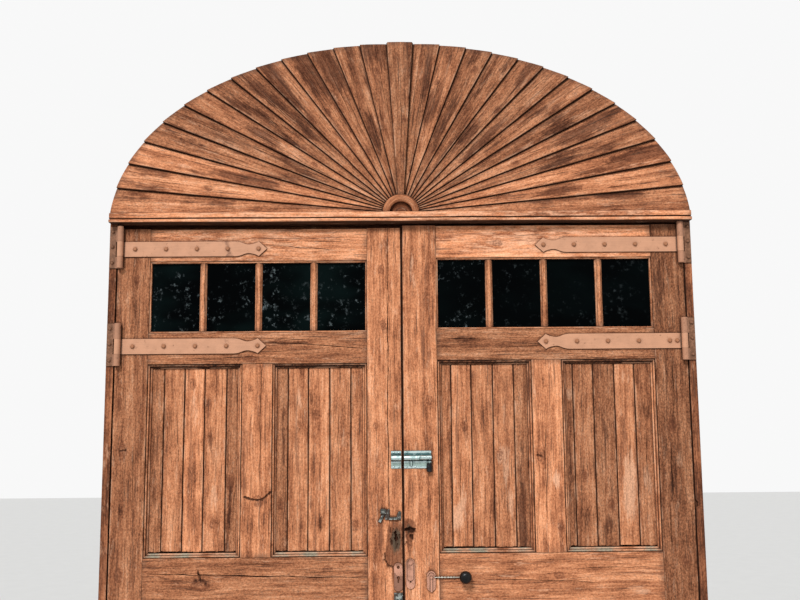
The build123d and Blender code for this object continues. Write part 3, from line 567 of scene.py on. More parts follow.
def weather(s, fibre, bare):
    """Lays on the pale, stained and rotten patches and the board's own lightness."""
    lift, pale, dark = s.parts(s.attribute("tone"))
    ragged = s.noise(fibre, (16.0, 80.0, 80.0), 6.0, 0.7) - 0.5
    ragged = ragged * 1.9
    pale_share = s.between(pale + ragged, 0.36, 0.8, 0.0, 0.72)
    dark_share = s.between(dark + ragged, 0.36, 0.8, 0.0, 0.85)
    s.coat(pale_share, PALE_WOOD)
    s.coat(s.between(pale + ragged, 1.12, 1.5), BLEACHED_WOOD)
    s.coat(dark_share, s.shaded((0.30, 0.25, 0.24)))
    rotten_share = s.between(dark + ragged, 1.25, 2.0, 0.0, 0.9)
    s.coat(rotten_share, ROT_BROWN)
    grit = s.noise(bare, (120.0, 190.0, 190.0), 3.0, 0.75)
    lifted = lift + s.between(grit, 0.32, 0.68, 0.75, 1.26)
    s.colour = s.shaded(s.vector(lifted, lifted, lifted))


def draw_knots(s, knot_t, knot, uneven):
    knot = knot + uneven
    rim = s.between(knot, 0.55, 0.95) * s.between(knot, 1.5, 1.1)
    across = knot_t + uneven * 0.004
    split = s.between(s.maths("ABSOLUTE", across), 0.0016, 0.0006)
    split = s.between(knot, 0.9, 0.4) * split
    heart = s.most(rim * 0.55, split)
    heart = s.most(heart, s.between(knot, 1.0, 0.3, 0.0, 0.35))
    s.coat(heart, KNOT_BROWN)
    halo = s.between(knot, 2.6, 0.9, 0.0, 0.25)
    s.coat(halo, s.shaded((0.55, 0.42, 0.38)))


def draw_wear_and_shade(s, blotch):
    """Lays on grime and painted shade towards the ends, rubbed edges, and black cracks with the painted
    shade in gaps, grooves and under edges, and gives that darkness back.
    """
    edge, end_gap, crack = s.parts(s.attribute("wear"))
    # Darker in patches towards the board's ends: grime, and painted shade where the board meets other
    # parts
    end_dirt_and_shade = s.between(end_gap, 0.022, 0.0, 0.0, 0.6) * s.between(blotch, 0.35, 0.6)
    s.coat(end_dirt_and_shade, DARK_WOOD)
    rubbed = s.between(edge, 0.006, 0.002) * s.between(blotch, 0.48, 0.6, 0.0, 0.55)
    s.coat(rubbed, PALE_WOOD)
    # Blackens the cracks and the painted shade in gaps, grooves and under edges
    s.coat(s.between(crack, 0.08, 0.85, 0.0, 0.94), CRACK_AND_SHADE_BLACK)
    return crack


def wood(name, flow=None, light=0.0):
    """Weathered, once stained timber. flow says how a piece without point values lies."""
    s = new_material(name)
    if flow is None:
        grain = s.attribute("grain")
        along, across, depth = s.parts(grain)
        knot_t, knot, uneven, moved = near_knot(s, grain)
        across = across - moved
    else:
        along, across, depth = timber_ways(s, flow)
    bare = s.vector(along, across, depth)
    sway = s.noise(bare, (1.7, 5.0, 5.0), 2.0)
    across = across + (sway - 0.5) * 0.03
    fibre = s.vector(along, across, depth)

    waves = [s.noise(fibre, *wave) for wave in FIBRE_WAVES] + [s.noise(bare, *wave) for wave in SPOT_WAVES]
    _, streak, fine, crackle, blotch = waves
    value = 0.5 + light
    for wave, share in zip(waves, WAVE_SHARES):
        part = (wave - 0.5) * share
        value = part + value
    s.colour = s.ramp(value, WOOD_RAMP)

    stains = s.noise(fibre, (2.1, 42.0, 42.0), 6.0, 0.68)
    s.coat(s.between(stains, 0.545, 0.70, 0.0, 0.75), STAIN_BROWN)
    checks = s.noise(fibre, (7.0, 210.0, 210.0), 3.0, 0.6)
    check = s.between(checks, 0.405, 0.325)
    s.coat(check * 0.7, DARK_WOOD)
    grime = s.between(s.noise(bare, (10.0, 34.0, 34.0), 6.0, 0.72), 0.59, 0.74)
    s.coat(grime * 0.5, DARK_WOOD)
    bare_spot = s.between(s.noise(fibre, (11.0, 60.0, 60.0), 6.0, 0.7), 0.575, 0.66)
    s.coat(bare_spot * 0.5, PALE_WOOD)
    fleck = s.between(crackle, 0.585, 0.68)
    s.coat(fleck * 0.55, DARK_WOOD)
    height = streak * 0.6 + fine * 0.25
    height = height - check * 0.3
    height = height - fleck * 0.15

    if flow is None:
        weather(s, fibre, bare)
        draw_knots(s, knot_t, knot, uneven)
        # crack holds the darkness of the cracks and of the painted shade
        crack = draw_wear_and_shade(s, blotch)
        height = height - crack * 0.3

    # Painted shade darkens the timber in corners and beside edges that stand over it
    s.coat(s.crevice_shade(0.01) * 0.9, CREVICE_SHADE_BROWN)
    normal = s.bump(height, 0.0018, 1.0)
    rough = s.between(value, 0.2, 0.9, 0.9, 0.72)
    return s.surface(roughness=rough, specular_ior_level=0.18, normal=normal)


# Where the straps' knuckles begin and their bolt heads end, from the middle
KNUCKLES_FROM, HEADS_TO = 0.945, 0.93


def painted_iron(name, paint, worn, rust, wear, plates=None, heads=None, bare=None):
    """Old paint on forged iron, mottled, chipped to a darker coat and rusty in places."""
    s = new_material(name)
    place = s.place()
    x, y, z = s.parts(place)
    far_out = s.maths("ABSOLUTE", x)
    mottle = s.noise(place, 26.0, 5.0, 0.6)
    brush = s.noise(place, (12.0, 300.0, 300.0), 3.0)
    chips = s.noise(place, 85.0, 6.0, 0.68)
    stains = s.noise(place, 14.0, 4.0, 0.65)
    s.colour = s.mix(s.between(mottle, 0.32, 0.68), times(paint, 0.86), paint)
    s.coat(s.between(brush, 0.4, 0.7, 0.0, 0.3), times(paint, 1.12))
    chipped = s.between(chips, 0.66 - 0.1 * wear, 0.70 - 0.1 * wear)
    s.coat(chipped * 0.8, worn)
    rusty = s.between(stains, 0.66 - 0.12 * wear, 0.80 - 0.12 * wear, 0.0, 0.8)
    if heads is not None:
        proud = s.between(y, heads, heads - 0.0006)
        proud = proud * s.between(far_out, KNUCKLES_FROM, HEADS_TO)
        s.coat(proud * 0.85, HEAD_BROWN)
    if plates is not None:
        beyond = s.between(far_out, plates - 0.001, plates + 0.001, 0.0, 1.0)
        beyond = beyond * s.between(chips, 0.6, 0.45, 0.55, 1.0)
        rusty = s.most(rusty, beyond)
    if bare is not None:
        corner_x, corner_z = bare
        ragged = z + s.between(chips, 0.3, 0.7, -0.012, 0.012)
        below = s.between(ragged, corner_z, corner_z - 0.006)
        below = below * s.between(x, corner_x + 0.001, corner_x, 0.0, 0.68)
        rusty = s.most(rusty, below)
    s.coat(rusty, rust)
    height = mottle * 0.5 - chipped * 0.2
    # Painted shade darkens the iron in corners and beside edges that stand over it
    s.coat(s.crevice_shade(0.008) * 0.95, (0.04, 0.016, 0.009))
    normal = s.bump(height, 0.0012, 0.7)
    rough = s.between(chips, 0.3, 0.7, 0.52, 0.77)
    return s.surface(roughness=rough, specular_ior_level=0.3, normal=normal)


def bare_metal(name, metal, dull, rough=0.35, painted_light_and_film_bands=()):
    """Zinc or steel with a dull bloom and fine drawing lines.

    painted_light_and_film_bands are (from, to, shade) in height: painted reflections and shadows, and
    bands of film.
    """
    s = new_material(name)
    place = s.place()
    bloom = s.noise(place, 60.0, 5.0, 0.6)
    lines = s.noise(place, (20.0, 400.0, 400.0), 3.0)
    spots = s.noise(place, 170.0, 3.0)
    dulled = s.between(bloom, 0.42, 0.66)
    s.colour = s.mix(dulled, metal, dull)
    s.coat(s.between(spots, 0.62, 0.72, 0.0, 0.6), times(dull, 0.35))
    height = s.parts(place)[2]
    # Painted reflections and shadows, and film, laid on by height
    for low, high, shade in painted_light_and_film_bands:
        inside = s.between(height, low - 0.001, low)
        inside = inside * s.between(height, high + 0.001, high)
        inside = inside * s.between(bloom, 0.3, 0.55, 0.55, 1.0)
        s.coat(inside, shade)
    # Painted shade darkens the metal in corners and beside edges that stand over it
    s.coat(s.crevice_shade(0.006) * 0.95, (0.01, 0.016, 0.016))
    drawn = s.between(lines, 0.3, 0.7, rough, rough + 0.15)
    rough_at = dulled * 0.25 + drawn
    return s.surface(
        metallic=s.between(bloom, 0.45, 0.7, 0.95, 0.55), roughness=rough_at,
        normal=s.bump(lines, 0.0004, 0.6),
    )


def dark_gloss(name, base, worn, rough=0.3):
    """Black paint or rubber, rubbed grey in places."""
    s = new_material(name)
    place = s.place()
    scuffs = s.noise(place, 140.0, 5.0, 0.65)
    dust = s.noise(place, 45.0, 4.0)
    s.colour = s.mix(s.between(scuffs, 0.58, 0.70, 0.0, 0.7), base, worn)
    s.coat(s.between(dust, 0.50, 0.75, 0.0, 0.35), worn)
    return s.surface(
        roughness=s.between(scuffs, 0.35, 0.65, rough, rough + 0.25),
        specular_ior_level=0.22, normal=s.bump(scuffs, 0.0006, 0.5),
    )


def pane_glass(name):
    """Dusty window glass, painted nearly black for the dark room behind it, with a teal haze of dust and
    painted reflection, and pale specks painted as reflections.
    """
    s = new_material(name)
    place = s.place()
    reflection_flecks = s.noise(place, 52.0, 7.0, 0.75)
    clumps = s.noise(place, 7.5, 4.0, 0.6)
    haze = s.noise(place, (2.5, 2.5, 5.0), 3.0)
    there = s.between(clumps, 0.42, 0.66)
    # Pale specks painted as reflections, weaker towards the right
    light = s.between(reflection_flecks, 0.55, 0.74) * there
    x, _, _ = s.parts(place)
    light = light * s.between(x, 0.2, 0.5, 1.0, 0.15)
    film = s.between(haze, 0.42, 0.62) * s.between(x, -0.1, 0.1, 1.0, 0.3)
    # Nearly black as painted shade of the dark room behind, with a teal haze of dust and painted
    # reflection, stronger on the left
    base = s.mix(film, (0.0006, 0.0010, 0.0012), (0.0022, 0.0055, 0.0055))
    s.colour = s.mix(light, base, (0.17, 0.21, 0.22))
    return s.surface(
        roughness=s.between(clumps, 0.3, 0.7, 0.06, 0.16), specular_ior_level=0.01,
        ior=1.5, normal=s.bump(s.noise(place, 3.0, 2.0), 0.004, 0.3),
    )


TIMBER = wood("timber")
# The transom is darkened as painted shade under the moulding
LEVEL_TIMBER_SHADED = wood("timber_level", "level", light=-0.42)
UPRIGHT_TIMBER = wood("timber_upright", "upright", light=-0.30)
ARCH_TIMBER = wood("timber_arch", ARCH_CENTRE, light=-0.05)
HUB_TIMBER = wood("timber_hub", HUB_LEVEL, light=0.0)
DISC_TIMBER = wood("timber_disc", HUB_LEVEL, light=-0.6)


def mm(value):
    """A table in millimetres and thousandths of full strength, as metres and shares."""
    if isinstance(value, dict):
        return {key: mm(rows) for key, rows in value.items()}
    if isinstance(value, tuple):
        return tuple(mm(part) for part in value)
    return value / 1000


# Features of the leaves' boards, in millimetres. Each is cut into the board that its first place
# lies on.
# Knots as (x, z, radius)
KNOTS = mm((
    (-931, 1486, 11), (-948, 1651, 6), (-935, 1084, 10), (-900, 2060, 7), (-905, 620, 12),
    (-480, 1318, 9), (-510, 1690, 6), (-663, 1052, 14), (-250, 1100, 7), (-512, 1790, 9), (-70, 2089, 7),
    (-64, 1901, 8), (-90, 1560, 6), (88, 1647, 8), (50, 700, 10), (460, 1462, 10), (520, 1230, 7),
    (905, 1560, 9), (930, 1120, 8), (900, 560, 11), (512, 1073, 8), (330, 2180, 8), (-560, 140, 13),
    (640, 90, 12), (-704, 1706, 8), (-652, 1644, 7), (-577, 1376, 10), (-630, 1247, 8), (-289, 1600, 8),
    (-407, 1306, 8), (-160, 1236, 9), (324, 1463, 8), (208, 1555, 7), (608, 1389, 8), (693, 1297, 8),
    (715, 1559, 7),
))
# Cracks as (x, z) to (x, z), width and depth
CRACKS = mm((
    (-840, 1088, -121, 1070, 3.2, 6), (-463, 2178, -210, 2159, 2.2, 4), (-330, 2192, -200, 2188, 1.8, 3),
    (-459, 1846, -122, 1823, 2.6, 4), (-430, 1858, -250, 1852, 1.8, 3), (-700, 1792, -420, 1796, 1.8, 3),
    (-48, 1252, -47.5, 2234, 3, 6), (-474, 1352, -475, 1770, 2.2, 4), (-474, 260, -472, 920, 2.2, 4),
    (474, 1180, 476, 1620, 1.8, 4), (474, 300, 472, 800, 2.2, 4), (898, 1330, 896, 1500, 2.2, 4),
    (912, 1560, 914, 1780, 2, 4), (884, 1150, 886, 1300, 2.2, 4), (-896, 1300, -894, 1520, 1.6, 3),
    (250, 1062, 640, 1050, 2, 4), (560, 1094, 800, 1098, 1.8, 3), (300, 1822, 620, 1836, 1.8, 4),
    (140, 1856, 300, 1850, 2, 3),
))
# Worn and stained patches as (x, z, half width, half height, strength)
PALE = mm((
    (-550, 2180, 500, 120, 550), (500, 2180, 500, 120, 600), (-85, 1450, 20, 250, 400),
    (513, 1380, 15, 40, 900), (924, 1442, 12, 50, 700), (902, 1245, 14, 140, 500),
    (773, 1023, 50, 20, 700), (34, 2080, 12, 110, 550), (177, 1253, 20, 50, 800),
    (324, 1463, 20, 40, 700), (360, 1300, 15, 50, 700), (564, 1663, 12, 30, 900),
    (759, 1400, 25, 90, 900), (817, 1367, 18, 60, 800), (-700, 1620, 22, 120, 550),
    (-350, 1640, 22, 80, 600), (-630, 1330, 22, 90, 600), (-205, 1560, 22, 120, 450),
    (-280, 1360, 22, 60, 500), (200, 1310, 22, 100, 600), (345, 1420, 15, 100, 600),
    (750, 1290, 25, 80, 700), (750, 1720, 30, 40, 500),
))
DARK = mm((
    (-32, 1192, 28, 60, 800), (-22, 1196, 24, 52, 1500), (-45, 1130, 30, 40, 600),
    (-20, 1080, 20, 80, 600), (18, 1230, 20, 30, 1500), (20, 1170, 18, 60, 700), (80, 1040, 20, 50, 500),
    (898, 1376, 12, 90, 800), (885, 1230, 10, 160, 400), (925, 1500, 10, 220, 500),
    (892, 1730, 12, 150, 600), (880, 2040, 20, 160, 800), (940, 1200, 12, 180, 300),
    (900, 800, 15, 300, 400), (-160, 2170, 50, 20, 400), (-400, 1846, 100, 18, 700),
    (-200, 1800, 50, 20, 500), (220, 1850, 90, 20, 600), (620, 1790, 160, 16, 500),
    (-663, 1060, 45, 22, 700), (-350, 1075, 160, 16, 500), (-470, 1312, 30, 22, 700),
    (-948, 1651, 10, 50, 600), (-905, 1930, 14, 200, 600), (-880, 1560, 10, 200, 400),
    (-930, 1300, 20, 100, 500), (-900, 900, 15, 250, 500), (-642, 1520, 12, 60, 800),
    (-275, 1240, 8, 40, 900), (395, 1381, 20, 300, 500), (820, 1600, 30, 150, 500),
    (208, 1555, 12, 50, 600), (-400, 1500, 12, 250, 600), (-300, 1660, 15, 50, 600),
    (-575, 1300, 14, 160, 700), (-825, 1400, 10, 200, 700), (-340, 1240, 20, 50, 500),
    (330, 1700, 20, 60, 600), (300, 1600, 15, 80, 500), (220, 1520, 15, 60, 400),
    (395, 1200, 15, 140, 800), (610, 1250, 18, 60, 700), (680, 1230, 25, 50, 800),
    (680, 1560, 25, 100, 600), (740, 1560, 18, 100, 500), (560, 1400, 12, 250, 700),
))
# How much lighter than the rest each board is
LIGHT = mm({
    "left_top_rail": 260, "right_top_rail": 520, "left_glass_rail": -180, "right_glass_rail": -250,
    "left_hinge_stile": -240, "right_hinge_stile": -420, "left_meeting_stile": 200,
    "right_meeting_stile": 200, "left_upper_mullion": 220, "right_upper_mullion": 300,
    "left_lock_rail": -160, "right_lock_rail": 100,
})
# Cuts and broken knots as lines of (x, z), with width and depth
GOUGES = mm((
    (((-526, 1333), (-500, 1323), (-467, 1323), (-437, 1349)), 4.2, 4),
    (((-940, 1486), (-922, 1488)), 3, 3),
    (((-942, 1695), (-925, 1690), (-908, 1672), (-902, 1650)), 1.4, 1),
    (((-690, 1060), (-663, 1072), (-645, 1052)), 3.5, 4), (((-672, 1090), (-663, 1062)), 3, 4),
    (((448, 1462), (462, 1458)), 3, 3), (((-26, 1214), (-24, 1192)), 6, 10),
    (((-62, 1148), (-61, 1128), (-50, 1108), (-37, 1104)), 2.8, 3),
    (((7, 1226), (20, 1224), (30, 1219)), 11, 10), (((22, 1206), (24, 1196)), 5, 5),
    (((-660, 1628), (-652, 1644), (-645, 1662)), 1.4, 1.4), (((-642, 1548), (-643, 1500)), 1.4, 1.4),
    (((-310, 1606), (-289, 1600), (-275, 1596)), 1.4, 1.4), (((-343, 1572), (-343, 1550)), 1.2, 1.2),
    (((-407, 1322), (-405, 1296)), 1.4, 1.4), (((-275, 1262), (-276, 1222)), 1.8, 2),
    (((-628, 1252), (-612, 1246)), 1.4, 1.4), (((208, 1570), (207, 1540)), 1.4, 1.4),
    (((395, 1400), (396, 1362)), 1.2, 1.2),
))
# Places where the wood has splintered away, as x, z and half sizes, with how many splinters
ROTTEN = {
    "left_meeting_stile": (-0.026, 1.195, 0.021, 0.06, 30),
    "right_meeting_stile": (0.018, 1.195, 0.013, 0.045, 14),
}
SPLINTER_LONG = (0.004, 0.020)
UPRIGHTS = ("hinge_stile", "meeting_stile", "lower_mullion", "upper_mullion")
RAILS = ("bottom_rail", "lock_rail", "glass_rail", "top_rail")
BODY = {LEFT: "left_leaf", RIGHT: "right_leaf"}


def turned(rows, upright, pairs=1):
    """Rows that begin with pairs of (x, z), as rows in the directions of the timber."""
    if not upright:
        return list(rows)
    made = []
    for row in rows:
        ends = 2 * pairs
        swapped = [row[k + step] for k in range(0, ends, 2) for step in (1, 0)]
        made.append((*swapped, *row[ends:]))
    return made


def on_board(places, x_range, z_range):
    x, z = places[:2]
    return x_range[0] < x < x_range[1] and z_range[0] < z < z_range[1]


def marks(x_range, z_range, upright):
    """The knots and patches of the board that covers x_range and z_range."""

    def here(rows, pairs=1):
        return turned([row for row in rows if on_board(row, x_range, z_range)], upright, pairs)

    return {"knots": here(KNOTS), "pale": here(PALE, 2), "dark": here(DARK, 2)}


def board_gouges(x_range, z_range, upright, rng):
    """The cuts of a board in its own directions, each with torn fibres around it."""
    made = []
    for points, wide, deep in GOUGES:
        if not on_board(points[0], x_range, z_range):
            continue
        points = turned(points, upright)
        made.append((points, wide, deep))
        for _ in range(TORN_FIBRES):
            s, t = points[rng.integers(len(points))]
            s, t = s + rng.normal(0, 0.006), t + rng.normal(0, 0.003)
            long, lean = rng.uniform(0.004, 0.014), rng.uniform(-0.002, 0.002)
            made.append((((s, t), (s + long, t + lean)), rng.uniform(0.0006, 0.0018), 0.001))
    return made


def lying(upright, y, x=0, z=0):
    """The place of a flat board that faces the street, for board()."""
    ways = (Z, X) if upright else (X, Z)
    return (np.array((x, y, z)), *ways, STREET)


def settle(piece, name, slot, body, *nodes):
    """Builds the piece of timber and puts it in its nodes' place."""
    item = piece.build(name)
    item.data.materials.append(TIMBER)
    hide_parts(*nodes)
    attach(item, body)


def random_checks(rng, along, across, count):
    """Short seasoning checks, scattered over a board."""
    made = []
    for _ in range(count):
        s = rng.uniform(*along)
        t = rng.uniform(*across)
        run = rng.uniform(0.05, 0.22)
        lean = rng.uniform(-0.002, 0.002)
        made.append((s, t, s + run, t + lean, rng.uniform(0.0008, 0.0016), 0.0022))
    return made


def make_member(side, hand, name):
    """A stile, rail or mullion of a leaf."""
    node = f"{hand}_{name}"
    low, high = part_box(node)
    upright = name in UPRIGHTS
    x_range, z_range = (low.x, high.x), (low.z, high.z)
    along, across = (z_range, x_range) if upright else (x_range, z_range)
    options = marks(x_range, z_range, upright)
    if name == "meeting_stile":
        inner = side * LEAF_INNER
        across = (low.x, inner) if side == LEFT else (inner, high.x)
        tongue = (
            (TONGUE_FROM, 0.0), (TONGUE_FROM, TONGUE), (TONGUE_TO, TONGUE), (LEAF_THICK, 0.0),
        )
        options["high_side" if side == LEFT else "low_side"] = tongue
        # Painted shade on the tongue's sides, in the gap between the leaves
        options["side_shade"] = 1.0
    seed = seed_of(node)
    rng = np.random.default_rng(seed)
    checks = random_checks(rng, (along[0] + 0.05, along[1] - 0.25), across, 3)
    cracks = [crack for crack in CRACKS if on_board(crack, x_range, z_range)]
    options["cracks"] = turned(cracks, upright, 2) + checks
    if name == "top_rail":
        # Painted shade along the upper edge, under the moulding
        options["edge_shade"] = (0.5, 1.0)
    splinters = []
    if node in ROTTEN:
        x, z, half_x, half_z, count = ROTTEN[node]
        for _ in range(count):
            at = (z + half_z * rng.normal(0, 0.5), x + half_x * rng.uniform(-1, 1))
            to = (at[0] + rng.uniform(*SPLINTER_LONG), at[1] + rng.uniform(-0.002, 0.002))
            splinters.append(([at, to], rng.uniform(0.0010, 0.0030), rng.uniform(0.0006, 0.003)))
    piece = Piece()
    board(
        piece, lying(upright, LEAF), along, across, thick=LEAF_THICK, seed=seed,
        light=LIGHT.get(node, 0.0), **options,
        gouges=(*board_gouges(x_range, z_range, upright, rng), *splinters),
    )
    settle(piece, f"{node}_wood", "leaf_timber", BODY[side], node)


# Joints between the planks of the upper panels, as x
PANEL_JOINTS = mm({
    (LEFT, 1): (-800, -732, -664, -591),
    (LEFT, 0): (-384, -316, -244, -173),
    (RIGHT, 0): (164, 232, 305, 376),
    (RIGHT, 1): (576, 645, 717, 785),
})
# Lightness of the planks of the upper panels, from the left
BOARD_LIGHT = mm({
    (LEFT, 1): (-220, 20, 300, 120, -240),
    (LEFT, 0): (-280, 80, 160, 20, 0),
    (RIGHT, 0): (-60, 160, 40, 0, -280),
    (RIGHT, 1): (-280, -200, -340, 40, -220),
})
PLANK_THICK = 0.018
PLANK_GAP = 0.0016
LAP_FROM = 0.006
ROT_DEEP = 0.009
ROT_FROM, ROT_TO, ROT_STEP = 0.012, 0.030, 0.0016


def openings(hand, level):
    """The box of both panels of a leaf at one level, and the left and the right one's range of x."""
    low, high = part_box(f"{hand}_{level}_panels")
    left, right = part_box(f"{hand}_{level}_mullion")
    return low, high, ((low.x, left.x), (right.x, high.x))


def plank(piece, name, x_range, z_range, light, upper):
    """One plank of a panel. In the upper panels its foot has rotted to a ragged edge."""
    x0, x1 = x_range
    low, high = z_range
    seed = seed_of(name)
    rng = np.random.default_rng(seed)
    foot = rng.uniform(0.0005, 0.0040)

    def rotten(s, t):
        level_up = s - low - BEVEL_WIDTH
        ragged = foot * (1 + 0.6 * noise(t * 130, 0, seed + 7))
        gone = np.clip((ragged - level_up) / 0.0015, 0, 1) * upper
        return ROT_DEEP * gone, gone

    checks = random_checks(rng, (low + 0.05, high - 0.25), x_range, 2)
    gouges = board_gouges(x_range, z_range, True, rng)
    lap = ((LAP_FROM, 0.0), (LAP_FROM, PLANK_GAP / 2), (PLANK_THICK, PLANK_GAP / 2))
    # The planks' edges and sides carry painted shade in the joints between them
    board(
        piece, lying(True, PANEL_FRONT), z_range, (x0 + PLANK_GAP / 2, x1 - PLANK_GAP / 2),
        thick=PLANK_THICK, seed=seed, cracks=checks, **marks(x_range, z_range, True), gouges=gouges,
        low_side=lap, high_side=lap, relief=rotten, light=light if upper else rng.uniform(-0.3, 0.2),
        dense_rows=((low + ROT_FROM, low + ROT_TO, ROT_STEP),), edge_shade=(0.55, 0.55), side_shade=1.0,
        column_step=0.006, arris=0.0028,
    )


def make_panels(side, hand, level):
    """The planks of both panels of a leaf, the panel beside the meeting stile first."""
    node = f"{hand}_{level}_panels"
    low, high, spans = openings(hand, level)
    piece = Piece()
    for number, span in enumerate(spans[::side]):
        edges = [span[0], *PANEL_JOINTS[side, number], span[1]]
        for k, x_range in enumerate(zip(edges, edges[1:])):
            light = BOARD_LIGHT[side, number][k]
            plank(piece, f"{node}{number}{k}", x_range, (low.z, high.z), light, level == "upper")
    settle(piece, f"{node}_wood", "panel_boards", BODY[side], node)


def mitre_bar(piece, edge, from_x, to_x, from_z, to_z, section, seed, light, bleach=0.0):
    """A moulding strip along one edge of an opening; its ends are mitred inward."""
    upright = edge in ("left", "right")
    at = {"left": from_x, "right": to_x, "low": from_z, "high": to_z}[edge]
    inward = 1 if edge in ("left", "low") else -1
    along = (from_z, to_z) if upright else (from_x, to_x)
    bleached_at = [along[0] + share * (along[1] - along[0]) for share in (0.10, 0.42, 0.88)]
    way = X if upright else Z
    place = (np.array((0, LEAF, 0)) + at * way, Z if upright else X, inward * way, STREET)
    board(
        piece, place, along, None, thick=section[1], section=section[0], seed=seed, light=light,
        pale=[(at, BEVEL_WIDTH / 2, 0.05, 0.1, bleach) for at in bleached_at],
        start=lambda t: t, end=lambda t: -t, wander=0.0004, row_step=0.02,
    )


# Section of the panels' mouldings from outside to inside: (across, height, painted shade in the grooves)
BEVEL = mm((
    (0, -7, 1000), (1.2, -5, 900), (2, -1.6, 150), (3, -1, 0), (6, -1.2, 0), (7.2, -2.8, 200),
    (8, -6.8, 900), (9.2, -7.2, 500), (10.4, -7.4, 0), (13.4, -9.6, 0), (14.3, -11.8, 600),
    (15, -12.8, 1000),
))
# Rain has bleached the sills of the upper panels, and the upper mouldings are darkened as painted shade
SILL_BLEACH = 1.5
# Lightness of the mouldings by edge: painted shade on the upper ones, painted light on the right ones
EDGE_SHADE_AND_LIGHT = {"left": -0.05, "right": 0.20, "low": 0.0, "high": -0.75}


def make_panel_mouldings(side, hand):
    node = f"{hand}_panel_mouldings"
    piece = Piece()
    depth = PANEL_FRONT - LEAF
    for level in ("lower", "upper"):
        low, high, spans = openings(hand, level)
        for span in spans:
            for edge, light in EDGE_SHADE_AND_LIGHT.items():
                seed = seed_of(f"{node}{level}{span[0]:.2f}{edge}")
                bleach = SILL_BLEACH if (edge, level) == ("low", "upper") else 0.0
                mitre_bar(piece, edge, *span, low.z, high.z, (BEVEL, depth), seed, light, bleach)
    settle(piece, f"{node}_wood", "leaf_timber", BODY[side], node)


def make_glazing_bars(side, hand):
    node = f"{hand}_glazing_bars"
    low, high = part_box(f"{hand}_glass")
    # Section of the bead: (across, height, painted shade at its outer edge and its foot)
    bead = [
        (0.0, -BEAD_FRONT - 0.002, 0.8), (0.0007, -BEAD_FRONT - 0.0002, 0.1),
        (0.0014, -BEAD_FRONT, 0.0), (0.0042, -BEAD_FRONT - 0.0004, 0.0),
        (0.0051, -BEAD_FRONT - 0.003, 0.0), (BEAD_WIDTH, -BEAD_FOOT, 0.6),
    ]
    piece = Piece()
    for edge in EDGE_SHADE_AND_LIGHT:
        seed = seed_of(node + edge)
        mitre_bar(piece, edge, low.x, high.x, low.z, high.z, (bead, GLASS_DEPTH), seed, 0.12)
    half, nose = BAR_WIDTH / 2, BAR_NOSE / 2
    # The bar's section: painted shade at the steps beside the nose and at the foot
    right_half = [
        (nose - 0.0012, -BEAD_FRONT, 0.0), (nose, -BEAD_FRONT - 0.0004, 0.1),
        (nose + 0.0010, -BEAD_FRONT - 0.0022, 0.75), (nose + 0.0022, -BEAD_FRONT - 0.0024, 0.0),
        (half - 0.001, -BEAD_FOOT + 0.0012, 0.3), (half, -BEAD_FOOT, 0.9),
    ]
    left_half = [(-across, *rest) for across, *rest in reversed(right_half)]
    profile = [*left_half, (0, -BEAD_FRONT, 0.0), *right_half]
    for k in (-1, 0, 1):
        at = (low.x + high.x) / 2 + k * BAR_PITCH
        board(
            piece, lying(True, LEAF, x=at), (low.z + BEAD_WIDTH, high.z - BEAD_WIDTH), None,
            thick=GLASS_DEPTH, section=profile, seed=seed_of(f"{node}{k}"), light=0.06,
        )
    settle(piece, f"{node}_wood", "leaf_timber", BODY[side], node)


def rim_bearings():
    """Bearings from the hub that cut the head's curve into equal lengths, left to right."""
    first = math.asin((HUB_LEVEL - ARCH_CENTRE) / ARCH_HIGH)
    angles = np.linspace(math.pi - first, first, 4001)
    x = ARCH_WIDE * np.cos(angles)
    z = ARCH_CENTRE + ARCH_HIGH * np.sin(angles)
    run = np.concatenate([[0], np.cumsum(np.hypot(np.diff(x), np.diff(z)))])
    wanted = run[-1] * np.arange(BOARD_COUNT + 1) / BOARD_COUNT
    return np.arctan2(np.interp(wanted, run, z) - HUB_LEVEL, np.interp(wanted, run, x))


def rim_reach(bearing):
    """Distance from the hub's centre to the head's curve along a bearing."""
    wide, high = ARCH_WIDE - RIM_PLAY, ARCH_HIGH - RIM_PLAY
    rise = HUB_LEVEL - ARCH_CENTRE
    a = (np.cos(bearing) / wide) ** 2 + (np.sin(bearing) / high) ** 2
    b = 2 * rise * np.sin(bearing) / high**2
    c = (rise / high) ** 2 - 1
    return (-b + np.sqrt(b * b - 4 * a * c)) / (2 * a)


def rim_curve(t):
    """How far the top of the head's curve falls, t to the side of its middle."""
    return (ARCH_HIGH - RIM_PLAY) * (np.sqrt(1 - (t / ARCH_WIDE) ** 2) - 1) - RIM_PLAY


def hub_curve(t):
    """How far the hub's curve falls, t to the side of a board's middle."""
    return np.sqrt(np.clip(HUB_R**2 - t**2, 0, None)) - HUB_R


def both_edges(half_at):
    """The two edges of a board from its half width as a function of s."""
    return lambda s: -half_at(s), half_at


# The lowest boards of the head are paler, numbered from the transom
FOOT_LIGHT = {0: 0.18, 1: 0.42, 2: 0.42}


